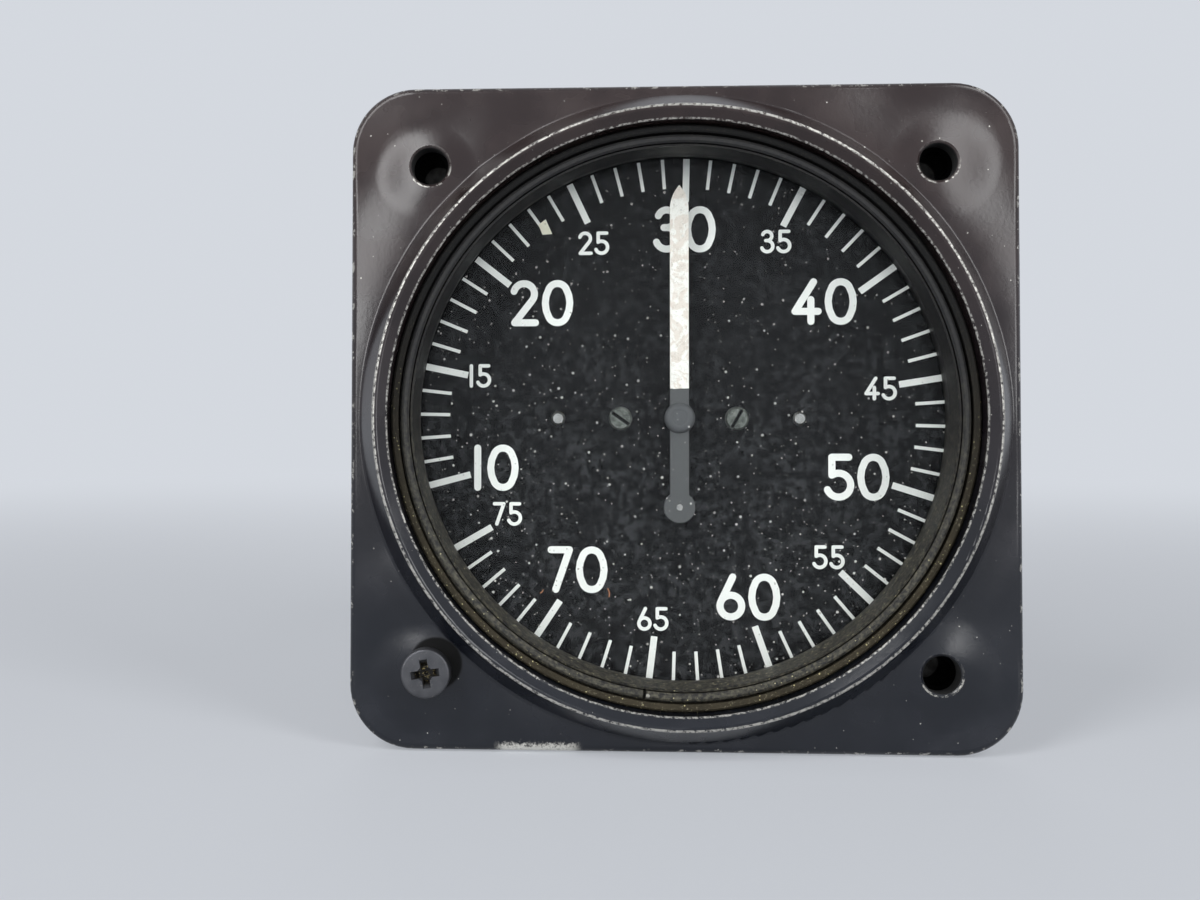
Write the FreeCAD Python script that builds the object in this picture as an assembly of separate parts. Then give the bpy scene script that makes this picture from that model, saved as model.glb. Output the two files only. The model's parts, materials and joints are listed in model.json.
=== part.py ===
import FreeCAD, Part
import math
import os

# Square-flanged panel gauge, 3-1/8 inch size, seen from the front: X right, Z up, Y to the rear.
# The origin is on the barrel's axis, in the rear face of the flange.

# Barrel, the size that the panel's hole sets, and its bores
BARREL_R = 38.6
BARREL_WALL = 3.4
BARREL_L = 55.0
WALL_OVERLAP = 1.0
GLASS_SEAT_W = 0.9
GROOVE_DEPTH = 0.8
GROOVE_W = 1.3

# Raised ring round the window, with heights in front of the flange's face
RING_H = 5.5
RING_FOOT_H = 1.3
RING_FOOT_FILLET = 0.6
RING_LIP_W = 1.1
RING_CREST_W = 0.6
RING_SLOPE_W = 1.9
LIP_DROP = 1.1
CREST_IN_DROP = 0.1
CREST_OUT_DROP = 0.15

# Flange and mounting holes
FLANGE_T = 5.0
FLANGE_CORNER_R = 8.0
FLANGE_EDGE_R = 0.8
HOLE_TO_RING = 4.756
HOLE_TO_EDGE = 9.84
HOLE_R = 2.3
HOLE_RIM = 0.3

# Running and seating clearances
FIT = 0.05
LOOSE = 0.15

# Window stack, from the front to the dial
CLAMP_RING_WALL = 0.3
CLAMP_RING_STEP = 0.5
CLAMP_FLANGE_T = 1.3
CLAMP_RING_RISE = 3.1
CLAMP_RING_TAPER = 0.2
SPLIT_RING_CROWN_W = 1.0
SPLIT_RING_FLANGE_T = 1.2
SPLIT_RING_CROWN_H = 2.1
SPLIT_GAP = 0.4
SPLIT_CLOCK = 188.0
PACKING_W = 0.85
PACKING_GAP = 0.35
PACKING_PLAY = 0.25
PACKING_H = 1.9
PACKING_CHAMFER = 0.2
GLASS_PLAY = 0.2
GLASS_T = 2.4
GLASS_CHAMFER = 0.25
GLASS_DEPTH = 2.1
GASKET_T = 0.9
SPACER_T = 0.95
SPACER_L = 4.2

# Dial, its posts, screws and pins
DIAL_PLAY = 0.3
DIAL_T = 0.8
DIAL_HOLE_R = 2.0
DIAL_SCREW_X = 7.5
DIAL_SCREW_HEAD_R = 1.5
DIAL_SCREW_HEAD_H = 0.9
SCREW_HEAD_BEVEL = 0.2
DIAL_SCREW_R = 0.8
DIAL_SCREW_L = 3.0
DIAL_SCREW_SLOTS = (35.0, -60.0)
SLOT_W = 0.45
DIAL_PIN_X = 15.6
DIAL_PIN_R = 0.85
DIAL_PIN_RISE = 0.25
DIAL_PIN_DOME = 0.2
POST_R = 2.2
POST_L = 3.6

# Movement plates and pillars
PLATE_T = 1.6
FRONT_PLATE_PLAY = 0.4
PLATE_GAP = 10.4
REAR_PLATE_LEFT = 6.9
REAR_PLATE_SHORT = 2.7
REAR_PLATE_CORNER_R = 4.0
PILLAR_RIGHT_X = 7.0
PILLAR_LEFT = 3.4
PILLAR_MARGIN = 3.2
PILLAR_LEFT_IN = 1.6
PILLAR_R = 1.9
PILLAR_TAP_DEPTH = 3.0
TAP_CLEAR = 0.4
SCREW_R = 0.9
SCREW_HEAD_R = 1.6
SCREW_HEAD_H = 1.1
SLOT_TURN_STEP = 25.0
LUG_ANGLES = (90.0, 225.0, 315.0)
LUG_DEPTH = 4.2
LUG_L = 2.4
LUG_W = 7.0
LUG_ROOT = 1.0
LUG_SCREW_R = 1.0
LUG_SCREW_L = 3.6

# Gear pair and shafts
ARBOR_TO_WALL = 12.1
PINION_TEETH = 12
SECTOR_TEETH = 120
PRESSURE_ANGLE = 25.0
ADDENDUM = 0.85
DEDENDUM = 1.25
BACKLASH = 0.09
FIRST_TOOTH = -10
LAST_TOOTH = 6
SECTOR_T = 1.2
PINION_T = 3.0
SECTOR_Y = 4.6
SECTOR_RIM = 2.2
SECTOR_ARM_W = 2.6
SECTOR_BOSS_R = 3.4
SECTOR_BOSS_RISE = 1.0
SECTOR_WEB = 3.0
SECTOR_MARGIN = 2.6
SECTOR_TAIL_L = 7.5
SECTOR_TAIL_W = 3.0
SECTOR_MID = -6.75
SECTOR_LOW = -24.0
SECTOR_HIGH = 10.5
WEIGHT_R = 2.3
WEIGHT_T = 1.5
ARBOR_R = 1.3
PIVOT_R = 0.6
STAFF_R = 0.8
STAFF_FRONT_R = 0.75
STAFF_PIVOT_R = 0.4
BUSH_WALL = 0.9
SHAFT_END_PLAY = 0.2
STOP_R = 0.8
STOP_TO_TEETH = 7.0
STOP_CLEAR = 0.3
PIN_PROUD = 0.6

# Hairspring
HAIRSPRING_TURNS = 4
HAIRSPRING_PITCH = 1.1
HAIRSPRING_T = 0.2
HAIRSPRING_W = 0.6
HAIRSPRING_Y = 7.6
COLLET_R = 1.5
COLLET_L = 1.4
STUD_W = 1.6

# Pointer
HAND_BACK_GAP = 2.7
HAND_T = 0.4
HAND_W = 2.38
HAND_TIP_TO_EDGE = 5.0
HAND_POINT_L = 2.9
TAIL_Z = 11.4
TAIL_R = 1.97
TAIL_WEIGHT_T = 1.1
HUB_CAP_R = 1.94
HUB_CAP_H = 0.8
HUB_R = 1.5
HUB_L = 1.7
RIVET_R = 0.4
RIVET_RISE = 0.25

# Capsule stack and its bracket
LEVER = 8.0
DRIVE_PIN_R = 0.55
DRIVE_PLAY = 0.1
LEVER_SHORTENS = 0.2
LEVER_GROWS = 0.6
SLOT_END = 0.95
CAPSULE_R = 11.5
CAPSULE_NECK_R = 5.5
CAPSULE_WAVES = 3
CAPSULE_COLLAR_H = 1.4
CAPSULE_COLLAR_R = 4.0
CAPSULE_RIM_W = 1.2
CAPSULE_BACK = 14.4
BRACKET_TO_WALL = 14.7
BRACKET_T = 1.6
BRACKET_W = 13.0
BRACKET_BEND_R = 2.4
DRIVE_SLOT_HALF_Z = 3.6
DRIVE_SLOT_CLEAR = 0.7
STEM_R = 2.0
STEM_L = 3.6
STEM_NUT_AF = 6.4
STEM_NUT_T = 2.0
BRACKET_SCREW_X = 4.3
BRACKET_SCREW_Z = 9.0
BRACKET_SCREW_SHORT = 0.2
DRIVE_POST_R = 3.6
DRIVE_POST_H = 4.0
DRIVE_EAR_W = 2.6
DRIVE_EAR_REACH = 1.6
DRIVE_PIN_SEAT = 1.0

# Rear cover, its screws and the pressure fitting
COVER_T = 3.0
COVER_INSET = 0.8
COVER_PAD_IN = 7.8
COVER_PAD_H = 1.2
COVER_EDGE_R = 0.9
COVER_GASKET_T = 0.8
COVER_LUG_ANGLES = (0.0, 90.0, 180.0, 270.0)
COVER_LUG_DEPTH = 5.0
COVER_LUG_L = 9.0
COVER_SCREW_IN = 2.4
COVER_SCREW_R = 1.2
COVER_SCREW_HEAD_R = 2.2
COVER_SCREW_HEAD_H = 1.8
COVER_SCREW_BITE = 5.5
FITTING_X = 14.0
FITTING_HEX_AF = 14.3
FITTING_HEX_T = 5.0
FITTING_THREAD_R = 5.14
FITTING_THREAD_L = 11.0
FITTING_UNDERCUT_W = 1.2
FITTING_UNDERCUT = 0.6
FITTING_CHAMFER = 0.8
FITTING_SHANK_R = 4.2
FITTING_SHANK_IN = 4.6
FITTING_BORE_R = 1.6
FITTING_NUT_AF = 12.0
FITTING_NUT_T = 3.2
SEAL_T = 1.2
SEAL_R = 7.0
RESTRICTOR_L = 5.0
RESTRICTOR_HOLE_R = 0.35

# Pressure tube inside the case
TUBE_R = 0.8
TUBE_BEND_R = 3.0
TUBE_TO_WALL = 6.8
TUBE_IN_FITTING = 2.4

# Mounting screw and the blind nuts behind the flange
PANEL_SCREW_R = 1.75
PANEL_HEAD_R = 3.04
PANEL_HEAD_H = 2.0
PANEL_HEAD_BEVEL = 0.3
PANEL_SCREW_STAND_OFF = 1.4
PANEL_SCREW_L = 9.0
CROSS_SPAN = 3.6
CROSS_W = 0.85
CROSS_DEPTH = 1.3
CROSS_TURN = -8.5
NUT_SHANK_R = 3.1
NUT_SHANK_L = 2.0
NUT_FLANGE_R = 4.6
NUT_FLANGE_T = 1.8
NUT_BARREL_L = 5.2
NUT_BORE_R = PANEL_SCREW_R + FIT
NUT_CAP_T = 1.0

# Radii, from the barrel's outwards and inwards
BODY_BORE_R = BARREL_R - BARREL_WALL
WINDOW_BORE_R = BODY_BORE_R + GLASS_SEAT_W
CREST_IN_R = WINDOW_BORE_R + RING_LIP_W
CREST_OUT_R = CREST_IN_R + RING_CREST_W
RING_FOOT_R = CREST_OUT_R + RING_SLOPE_W
HOLE_SPACING = (RING_FOOT_R + HOLE_TO_RING) * math.sqrt(2)
FLANGE_SIDE = HOLE_SPACING + 2 * HOLE_TO_EDGE
GLASS_R = WINDOW_BORE_R - GLASS_PLAY
PACKING_OUT_R = WINDOW_BORE_R - PACKING_PLAY
PACKING_IN_R = PACKING_OUT_R - PACKING_W
SPLIT_RING_CROWN_R = PACKING_IN_R - PACKING_GAP
SPLIT_RING_IN_R = SPLIT_RING_CROWN_R - SPLIT_RING_CROWN_W
CLAMP_RING_WALL_R = SPLIT_RING_IN_R - LOOSE
CLAMP_RING_MOUTH_R = CLAMP_RING_WALL_R - CLAMP_RING_WALL
CLAMP_RING_IN_R = CLAMP_RING_MOUTH_R - CLAMP_RING_STEP
DIAL_R = BODY_BORE_R - DIAL_PLAY
FRONT_PLATE_R = BODY_BORE_R - FRONT_PLATE_PLAY
LUG_IN_R = BODY_BORE_R - LUG_DEPTH
COVER_R = BARREL_R - COVER_INSET
COVER_LUG_IN_R = BODY_BORE_R - COVER_LUG_DEPTH
COVER_SCREW_CIRCLE_R = BODY_BORE_R - COVER_SCREW_IN
COVER_PAD_R = COVER_SCREW_CIRCLE_R - COVER_PAD_IN

# Places along the axis
FACE_Y = -FLANGE_T
CREST_Y = FACE_Y - RING_H
LIP_Y = CREST_Y + LIP_DROP
BARREL_END_Y = BARREL_L
GLASS_Y = FACE_Y + GLASS_DEPTH
GLASS_BACK_Y = GLASS_Y + GLASS_T
SEAT_Y = GLASS_BACK_Y + GASKET_T
DIAL_Y = SEAT_Y + SPACER_L
DIAL_BACK_Y = DIAL_Y + DIAL_T
PLATE_Y = DIAL_BACK_Y + POST_L
PLATE_BACK_Y = PLATE_Y + PLATE_T
REAR_PLATE_Y = PLATE_BACK_Y + PLATE_GAP
REAR_PLATE_BACK_Y = REAR_PLATE_Y + PLATE_T
HAND_BACK_Y = DIAL_Y - HAND_BACK_GAP
HAND_Y = HAND_BACK_Y - HAND_T
SECTOR_FRONT_Y = PLATE_BACK_Y + SECTOR_Y
CAPSULE_Y = REAR_PLATE_BACK_Y + CAPSULE_BACK
COVER_Y = BARREL_END_Y + COVER_GASKET_T
COVER_BACK_Y = COVER_Y + COVER_T
PAD_Y = COVER_BACK_Y + COVER_PAD_H
HEX_Y = PAD_Y + SEAL_T

# Gear geometry
ARBOR_X = ARBOR_TO_WALL - BODY_BORE_R
MODULE = -2 * ARBOR_X / (PINION_TEETH + SECTOR_TEETH)
PINION_PITCH_R = MODULE * PINION_TEETH / 2
SECTOR_PITCH_R = MODULE * SECTOR_TEETH / 2
STOP_CIRCLE_R = SECTOR_PITCH_R - STOP_TO_TEETH
CAPSULE_X = ARBOR_X + LEVER
DRIVE_PIN_Z = LEVER * math.tan(math.radians(SECTOR_MID))

# Heights and ends inside the case
HAND_TIP_Z = DIAL_R - HAND_TIP_TO_EDGE
BRACKET_HALF_Z = BODY_BORE_R - BRACKET_TO_WALL
REAR_PLATE_HALF_Z = BRACKET_HALF_Z - REAR_PLATE_SHORT
PILLAR_Z = REAR_PLATE_HALF_Z - PILLAR_MARGIN
PILLAR_LEFT_Z = PILLAR_Z - PILLAR_LEFT_IN
TUBE_LOW_Z = TUBE_TO_WALL - BODY_BORE_R

V = FreeCAD.Vector
AXIS_Y = V(0, 1, 0)
AXIS_Z = V(0, 0, 1)


def rod(radius, y0, y1, x=0.0, z=0.0):
    """A cylinder along Y."""
    return Part.makeCylinder(radius, y1 - y0, V(x, y0, z), AXIS_Y)


def ring(out_r, in_r, y0, y1, x=0.0, z=0.0):
    """A plain tube along Y."""
    return rod(out_r, y0, y1, x, z).cut(rod(in_r, y0, y1, x, z))


def turned(points):
    """A solid turned about the main axis from its half section, given as (radius, y) points."""
    wire = Part.makePolygon([V(r, y, 0) for r, y in points + points[:1]])
    return Part.Face(wire).revolve(V(0, 0, 0), AXIS_Y, 360)


def turned_round(points):
    """A turned solid whose half section has arcs: a point marked "through" lies on the arc between its neighbours."""
    at = [V(p[0], p[1], 0) for p in points]
    edges = []
    i = 0
    while i < len(points):
        after = (i + 1) % len(points)
        if len(points[after]) == 3:
            edges.append(Part.Arc(at[i], at[after], at[(i + 2) % len(points)]).toShape())
            i += 2
        else:
            edges.append(Part.LineSegment(at[i], at[after]).toShape())
            i += 1
    return Part.Face(Part.Wire(edges)).revolve(V(0, 0, 0), AXIS_Y, 360)


def turned_upright(points, x, y):
    """A solid turned about a vertical axis from its half section, given as (radius, z) points."""
    wire = Part.makePolygon([V(x + r, y, z) for r, z in points + points[:1]])
    return Part.Face(wire).revolve(V(x, y, 0), AXIS_Z, 360)


def plate(points, y0, y1):
    """A flat plate of the outline given as (x, z) points, from y0 to y1."""
    wire = Part.makePolygon([V(x, y0, z) for x, z in points + points[:1]])
    return Part.Face(wire).extrude(V(0, y1 - y0, 0))


def rounded_rectangle(x0, x1, z0, z1, corner_r, y0, y1):
    """A flat plate with four round corners."""
    body = Part.makeBox(x1 - x0, y1 - y0, z1 - z0, V(x0, y0, z0))
    upright = [e for e in body.Edges if abs(e.tangentAt(e.FirstParameter).y) > 0.99]
    return body.makeFillet(corner_r, upright)


def hexagon(across_flats, y0, y1, x=0.0, z=0.0):
    """A hexagonal prism along Y."""
    corner_r = across_flats / math.sqrt(3)
    turns = [math.radians(60 * i) for i in range(6)]
    return plate([(x + corner_r * math.cos(a), z + corner_r * math.sin(a)) for a in turns], y0, y1)


def hexagon_upright(across_flats, z0, z1, x, y):
    """A hexagonal prism along Z."""
    corner_r = across_flats / math.sqrt(3)
    turns = [math.radians(60 * i) for i in range(7)]
    wire = Part.makePolygon([V(x + corner_r * math.cos(a), y + corner_r * math.sin(a), z0) for a in turns])
    return Part.Face(wire).extrude(V(0, 0, z1 - z0))


def turn(shape, degrees, x=0.0, z=0.0):
    """The shape turned clockwise, seen from the front, about an axis along Y."""
    moved = shape.copy()
    moved.rotate(V(x, 0, z), AXIS_Y, degrees)
    return moved


def fused(shapes):
    """The shapes joined into one solid, with the seams between equal faces taken out."""
    return shapes[0].multiFuse(shapes[1:]).removeSplitter()


def polar(radius, degrees):
    """The (x, z) place at this angle, counted from +X towards +Z."""
    return radius * math.cos(math.radians(degrees)), radius * math.sin(math.radians(degrees))


def hole_places():
    """The four mounting holes: upper left, upper right, lower right, lower left."""
    half = HOLE_SPACING / 2
    return [(-half, half), (half, half), (half, -half), (-half, -half)]


def slotted_screw(head_r, head_h, shank_r, shank_l, seat_y, x, z, slot_turn, way=1):
    """A cheese-head screw. way is 1 where its shank runs to the rear, and -1 to the front."""
    outer_y = seat_y - way * head_h
    head_y = sorted((seat_y, outer_y))
    shank_y = sorted((seat_y, seat_y + way * shank_l))
    head = bevelled(rod(head_r, head_y[0], head_y[1], x, z), SCREW_HEAD_BEVEL, outer_y)
    body = head.fuse(rod(shank_r, shank_y[0], shank_y[1], x, z))
    depth = head_h * 0.5
    low = min(outer_y, outer_y + way * depth)
    slot = Part.makeBox(3 * head_r, depth, SLOT_W, V(x - 1.5 * head_r, low, z - SLOT_W / 2))
    return body.cut(turn(slot, slot_turn, x, z))


def bevelled(shape, size, y):
    """The shape with a bevel round its circular edges at this place along the axis."""
    rims = [e for e in shape.Edges if len(e.Vertexes) == 1 and abs(e.Vertexes[0].Y - y) < 1e-6]
    return shape.makeChamfer(size, rims)


def make_lug(angle, in_r, y0, y1, width, screw_circle_r, screw_r):
    """A lug on the inside of the barrel, with a tapped hole."""
    reach = BODY_BORE_R + LUG_ROOT
    lug = Part.makeBox(reach - in_r, y1 - y0, width, V(in_r, y0, -width / 2))
    lug = lug.common(rod(reach, y0, y1))
    lug = lug.cut(rod(screw_r, y0, y1, screw_circle_r, 0))
    return turn(lug, -angle)


def make_case_body():
    """The casting: square flange, raised ring, window bore with its groove, barrel and inner lugs."""
    groove_back = GLASS_Y - CLAMP_FLANGE_T
    fillet_mid = RING_FOOT_FILLET * (1 - math.sqrt(0.5))
    shell = turned_round([
        (WINDOW_BORE_R, LIP_Y),
        (CREST_IN_R, CREST_Y + CREST_IN_DROP),
        ((CREST_IN_R + CREST_OUT_R) / 2, CREST_Y, "through"),
        (CREST_OUT_R, CREST_Y + CREST_OUT_DROP),
        (RING_FOOT_R, FACE_Y - RING_FOOT_H),
        (RING_FOOT_R, FACE_Y - RING_FOOT_FILLET),
        (RING_FOOT_R + fillet_mid, FACE_Y - fillet_mid, "through"),
        (RING_FOOT_R + RING_FOOT_FILLET, FACE_Y),
        (RING_FOOT_R + RING_FOOT_FILLET, FACE_Y + FLANGE_T / 2),
        (BARREL_R, FACE_Y + FLANGE_T / 2),
        (BARREL_R, BARREL_END_Y),
        (BODY_BORE_R, BARREL_END_Y),
        (BODY_BORE_R, SEAT_Y),
        (WINDOW_BORE_R, SEAT_Y),
        (WINDOW_BORE_R, groove_back),
        (WINDOW_BORE_R + GROOVE_DEPTH, groove_back),
        (WINDOW_BORE_R + GROOVE_DEPTH, groove_back - GROOVE_W),
        (WINDOW_BORE_R, groove_back - GROOVE_W),
    ])
    half = FLANGE_SIDE / 2
    flange = rounded_rectangle(-half, half, -half, half, FLANGE_CORNER_R, FACE_Y, 0)
    front_edges = [e for e in flange.Edges if all(abs(v.Y - FACE_Y) < 1e-6 for v in e.Vertexes)]
    flange = flange.makeFillet(FLANGE_EDGE_R, front_edges)
    flange = flange.cut(rod(BARREL_R - WALL_OVERLAP, FACE_Y, 0))
    parts = [shell, flange]
    for angle in LUG_ANGLES:
        lug_y = PLATE_Y - LUG_L
        parts.append(make_lug(angle, LUG_IN_R, lug_y, PLATE_Y, LUG_W, lug_screw_circle(), LUG_SCREW_R))
    for angle in COVER_LUG_ANGLES:
        lug_y = BARREL_END_Y - COVER_LUG_L
        parts.append(make_lug(angle, COVER_LUG_IN_R, lug_y, BARREL_END_Y, LUG_W, COVER_SCREW_CIRCLE_R,
                              COVER_SCREW_R + FIT))
    body = fused(parts)
    for x, z in hole_places():
        body = body.cut(rod(HOLE_R, FACE_Y, 0, x, z))
        body = body.cut(Part.makeCone(HOLE_R + HOLE_RIM, HOLE_R, HOLE_RIM, V(x, FACE_Y, z), AXIS_Y))
        body = body.cut(rod(NUT_SHANK_R + FIT, -NUT_SHANK_L, 0, x, z))
    return body


def lug_screw_circle():
    """The radius of the circle of the screws that hold the movement."""
    return (LUG_IN_R + BODY_BORE_R) / 2


def make_captive_nuts():
    """Blind nuts pressed into the flange's rear, one behind each mounting hole."""
    nuts = []
    for x, z in hole_places():
        end_y = NUT_FLANGE_T + NUT_BARREL_L
        nut = rod(NUT_SHANK_R, -NUT_SHANK_L, end_y, x, z)
        nut = nut.fuse(rod(NUT_FLANGE_R, 0, NUT_FLANGE_T, x, z))
        nuts.append(nut.cut(rod(NUT_BORE_R, -NUT_SHANK_L, end_y - NUT_CAP_T, x, z)))
    return Part.makeCompound(nuts)


def make_mounting_screw():
    """The cross-recessed screw left in the lower left hole, not driven home."""
    x, z = hole_places()[3]
    under_y = FACE_Y - PANEL_SCREW_STAND_OFF
    top_y = under_y - PANEL_HEAD_H
    head = bevelled(rod(PANEL_HEAD_R, top_y, under_y, x, z), PANEL_HEAD_BEVEL, top_y)
    screw = head.fuse(rod(PANEL_SCREW_R, under_y, under_y + PANEL_SCREW_L, x, z))
    for turned_by in (CROSS_TURN, CROSS_TURN + 90):
        arm = Part.makeBox(CROSS_SPAN, CROSS_DEPTH, CROSS_W, V(x - CROSS_SPAN / 2, top_y, z - CROSS_W / 2))
        screw = screw.cut(turn(arm, turned_by, x, z))
    return screw


def make_clamp_ring():
    """The ring that holds the glass: a sleeve with a tapered mouth on a flange."""
    front_y = GLASS_Y - CLAMP_FLANGE_T - CLAMP_RING_RISE
    return turned([
        (CLAMP_RING_MOUTH_R, front_y),
        (CLAMP_RING_WALL_R, front_y + CLAMP_RING_TAPER),
        (CLAMP_RING_WALL_R, GLASS_Y - CLAMP_FLANGE_T),
        (GLASS_R, GLASS_Y - CLAMP_FLANGE_T),
        (GLASS_R, GLASS_Y),
        (CLAMP_RING_IN_R, GLASS_Y),
        (CLAMP_RING_IN_R, GLASS_Y - CLAMP_FLANGE_T),
    ])


def make_retaining_ring():
    """The split ring: its flange springs into the groove, and its rounded crown stands inside the packing."""
    back_y = GLASS_Y - CLAMP_FLANGE_T
    seat_y = back_y - SPLIT_RING_FLANGE_T
    top_y = seat_y - SPLIT_RING_CROWN_H
    crown_w = SPLIT_RING_CROWN_R - SPLIT_RING_IN_R
    whole = turned([
        (SPLIT_RING_IN_R, top_y + 0.25 * crown_w),
        (SPLIT_RING_IN_R + 0.25 * crown_w, top_y),
        (SPLIT_RING_CROWN_R - 0.35 * crown_w, top_y),
        (SPLIT_RING_CROWN_R - 0.1 * crown_w, top_y + 0.15 * crown_w),
        (SPLIT_RING_CROWN_R, top_y + 0.4 * crown_w),
        (SPLIT_RING_CROWN_R, seat_y),
        (WINDOW_BORE_R + GROOVE_DEPTH - LOOSE, seat_y),
        (WINDOW_BORE_R + GROOVE_DEPTH - LOOSE, back_y),
        (SPLIT_RING_IN_R, back_y),
    ])
    cut_l = back_y - top_y + 2
    split = Part.makeBox(SPLIT_GAP, cut_l, WINDOW_BORE_R, V(-SPLIT_GAP / 2, top_y - 1, SPLIT_RING_IN_R / 2))
    return whole.cut(turn(split, SPLIT_CLOCK))


def make_packing():
    """The sealing ring laid between the split ring's crown and the bore."""
    seat_y = GLASS_Y - CLAMP_FLANGE_T - SPLIT_RING_FLANGE_T
    return turned([
        (PACKING_IN_R, seat_y),
        (PACKING_IN_R, seat_y - PACKING_H + PACKING_CHAMFER),
        (PACKING_IN_R + PACKING_CHAMFER, seat_y - PACKING_H),
        (PACKING_OUT_R - PACKING_CHAMFER, seat_y - PACKING_H),
        (PACKING_OUT_R, seat_y - PACKING_H + PACKING_CHAMFER),
        (PACKING_OUT_R, seat_y),
    ])


def make_glass():
    """The window: a flat disc with ground edges."""
    edge_r = GLASS_R - GLASS_CHAMFER
    return turned([
        (0, GLASS_Y),
        (edge_r, GLASS_Y),
        (GLASS_R, GLASS_Y + GLASS_CHAMFER),
        (GLASS_R, GLASS_BACK_Y - GLASS_CHAMFER),
        (edge_r, GLASS_BACK_Y),
        (0, GLASS_BACK_Y),
    ])


def make_dial():
    """The dial plate, with holes for the staff, its two screws and the two pins."""
    disc = rod(DIAL_R, DIAL_Y, DIAL_BACK_Y).cut(rod(DIAL_HOLE_R, DIAL_Y, DIAL_BACK_Y))
    for side in (-1, 1):
        disc = disc.cut(rod(DIAL_SCREW_R + LOOSE, DIAL_Y, DIAL_BACK_Y, side * DIAL_SCREW_X))
        disc = disc.cut(rod(DIAL_PIN_R + FIT, DIAL_Y, DIAL_BACK_Y, side * DIAL_PIN_X))
    return disc


def make_dial_screws():
    """Two slotted screws that hold the dial to its posts."""
    screws = []
    for side, slot_turn in zip((-1, 1), DIAL_SCREW_SLOTS):
        screws.append(slotted_screw(DIAL_SCREW_HEAD_R, DIAL_SCREW_HEAD_H, DIAL_SCREW_R, DIAL_SCREW_L,
                                    DIAL_Y, side * DIAL_SCREW_X, 0, slot_turn))
    return Part.makeCompound(screws)


def make_dial_pins():
    """Two pins, pressed in the front plate, that place the dial."""
    front_y = DIAL_Y - DIAL_PIN_RISE
    pins = []
    for side in (-1, 1):
        pin = rod(DIAL_PIN_R, front_y, PLATE_BACK_Y, side * DIAL_PIN_X)
        pins.append(bevelled(pin, DIAL_PIN_DOME, front_y))
    return Part.makeCompound(pins)


def make_dial_posts():
    """Two posts between the dial and the front plate, tapped for the dial screws."""
    posts = []
    for side in (-1, 1):
        x = side * DIAL_SCREW_X
        post = rod(POST_R, DIAL_BACK_Y, PLATE_Y, x)
        tapped_y = DIAL_Y + DIAL_SCREW_L + LOOSE
        posts.append(post.cut(rod(DIAL_SCREW_R + FIT, DIAL_BACK_Y, tapped_y, x)))
    return Part.makeCompound(posts)


def bush_hole(pivot_r):
    """The radius of the hole that a bush is pressed in."""
    return pivot_r + FIT + BUSH_WALL


def make_front_plate():
    """The movement's front plate, which stands on the case's three lugs."""
    disc = rod(FRONT_PLATE_R, PLATE_Y, PLATE_BACK_Y)
    disc = disc.cut(rod(bush_hole(STAFF_FRONT_R), PLATE_Y, PLATE_BACK_Y))
    disc = disc.cut(rod(bush_hole(PIVOT_R), PLATE_Y, PLATE_BACK_Y, ARBOR_X))
    for side in (-1, 1):
        disc = disc.cut(rod(DIAL_PIN_R, PLATE_Y, PLATE_BACK_Y, side * DIAL_PIN_X))
    for x, z in pillar_places():
        disc = disc.cut(rod(SCREW_R + FIT, PLATE_Y, PLATE_BACK_Y, x, z))
    for x, z in stop_places():
        disc = disc.cut(rod(STOP_R, PLATE_Y, PLATE_BACK_Y, x, z))
    for angle in LUG_ANGLES:
        x, z = polar(lug_screw_circle(), angle)
        disc = disc.cut(rod(LUG_SCREW_R + FIT, PLATE_Y, PLATE_BACK_Y, x, z))
    return disc


def drive_slot(y0, y1):
    """The slot that the drive pin passes through."""
    half_w = DRIVE_PIN_R + DRIVE_SLOT_CLEAR
    return rounded_rectangle(CAPSULE_X - half_w, CAPSULE_X + half_w, -DRIVE_SLOT_HALF_Z, DRIVE_SLOT_HALF_Z,
                             half_w * SLOT_END, y0, y1)


def bracket_screw_places():
    """Where the four screws hold the capsule bracket to the rear plate."""
    return [(CAPSULE_X + sx * BRACKET_SCREW_X, sz * BRACKET_SCREW_Z) for sx in (-1, 1) for sz in (-1, 1)]


def make_rear_plate():
    """The movement's rear plate."""
    x0 = ARBOR_X - REAR_PLATE_LEFT
    x1 = PILLAR_RIGHT_X + PILLAR_MARGIN
    body = rounded_rectangle(x0, x1, -REAR_PLATE_HALF_Z, REAR_PLATE_HALF_Z, REAR_PLATE_CORNER_R,
                             REAR_PLATE_Y, REAR_PLATE_BACK_Y)
    body = body.cut(rod(bush_hole(STAFF_PIVOT_R), REAR_PLATE_Y, REAR_PLATE_BACK_Y))
    body = body.cut(rod(bush_hole(PIVOT_R), REAR_PLATE_Y, REAR_PLATE_BACK_Y, ARBOR_X))
    for x, z in pillar_places():
        body = body.cut(rod(SCREW_R + FIT, REAR_PLATE_Y, REAR_PLATE_BACK_Y, x, z))
    for x, z in bracket_screw_places():
        body = body.cut(rod(SCREW_R + FIT, REAR_PLATE_Y, REAR_PLATE_BACK_Y, x, z))
    return body.cut(drive_slot(REAR_PLATE_Y, REAR_PLATE_BACK_Y))


def pillar_places():
    """The four pillars: two on the right and two on the left, where the case's wall is nearer."""
    right = [(PILLAR_RIGHT_X, side * PILLAR_Z) for side in (1, -1)]
    left = [(ARBOR_X - PILLAR_LEFT, side * PILLAR_LEFT_Z) for side in (1, -1)]
    return right + left


def make_pillars():
    """Four pillars between the plates, tapped at both ends."""
    pillars = []
    for x, z in pillar_places():
        pillar = rod(PILLAR_R, PLATE_BACK_Y, REAR_PLATE_Y, x, z)
        pillar = pillar.cut(rod(SCREW_R + FIT, PLATE_BACK_Y, PLATE_BACK_Y + PILLAR_TAP_DEPTH, x, z))
        pillars.append(pillar.cut(rod(SCREW_R + FIT, REAR_PLATE_Y - PILLAR_TAP_DEPTH, REAR_PLATE_Y, x, z)))
    return Part.makeCompound(pillars)


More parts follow.
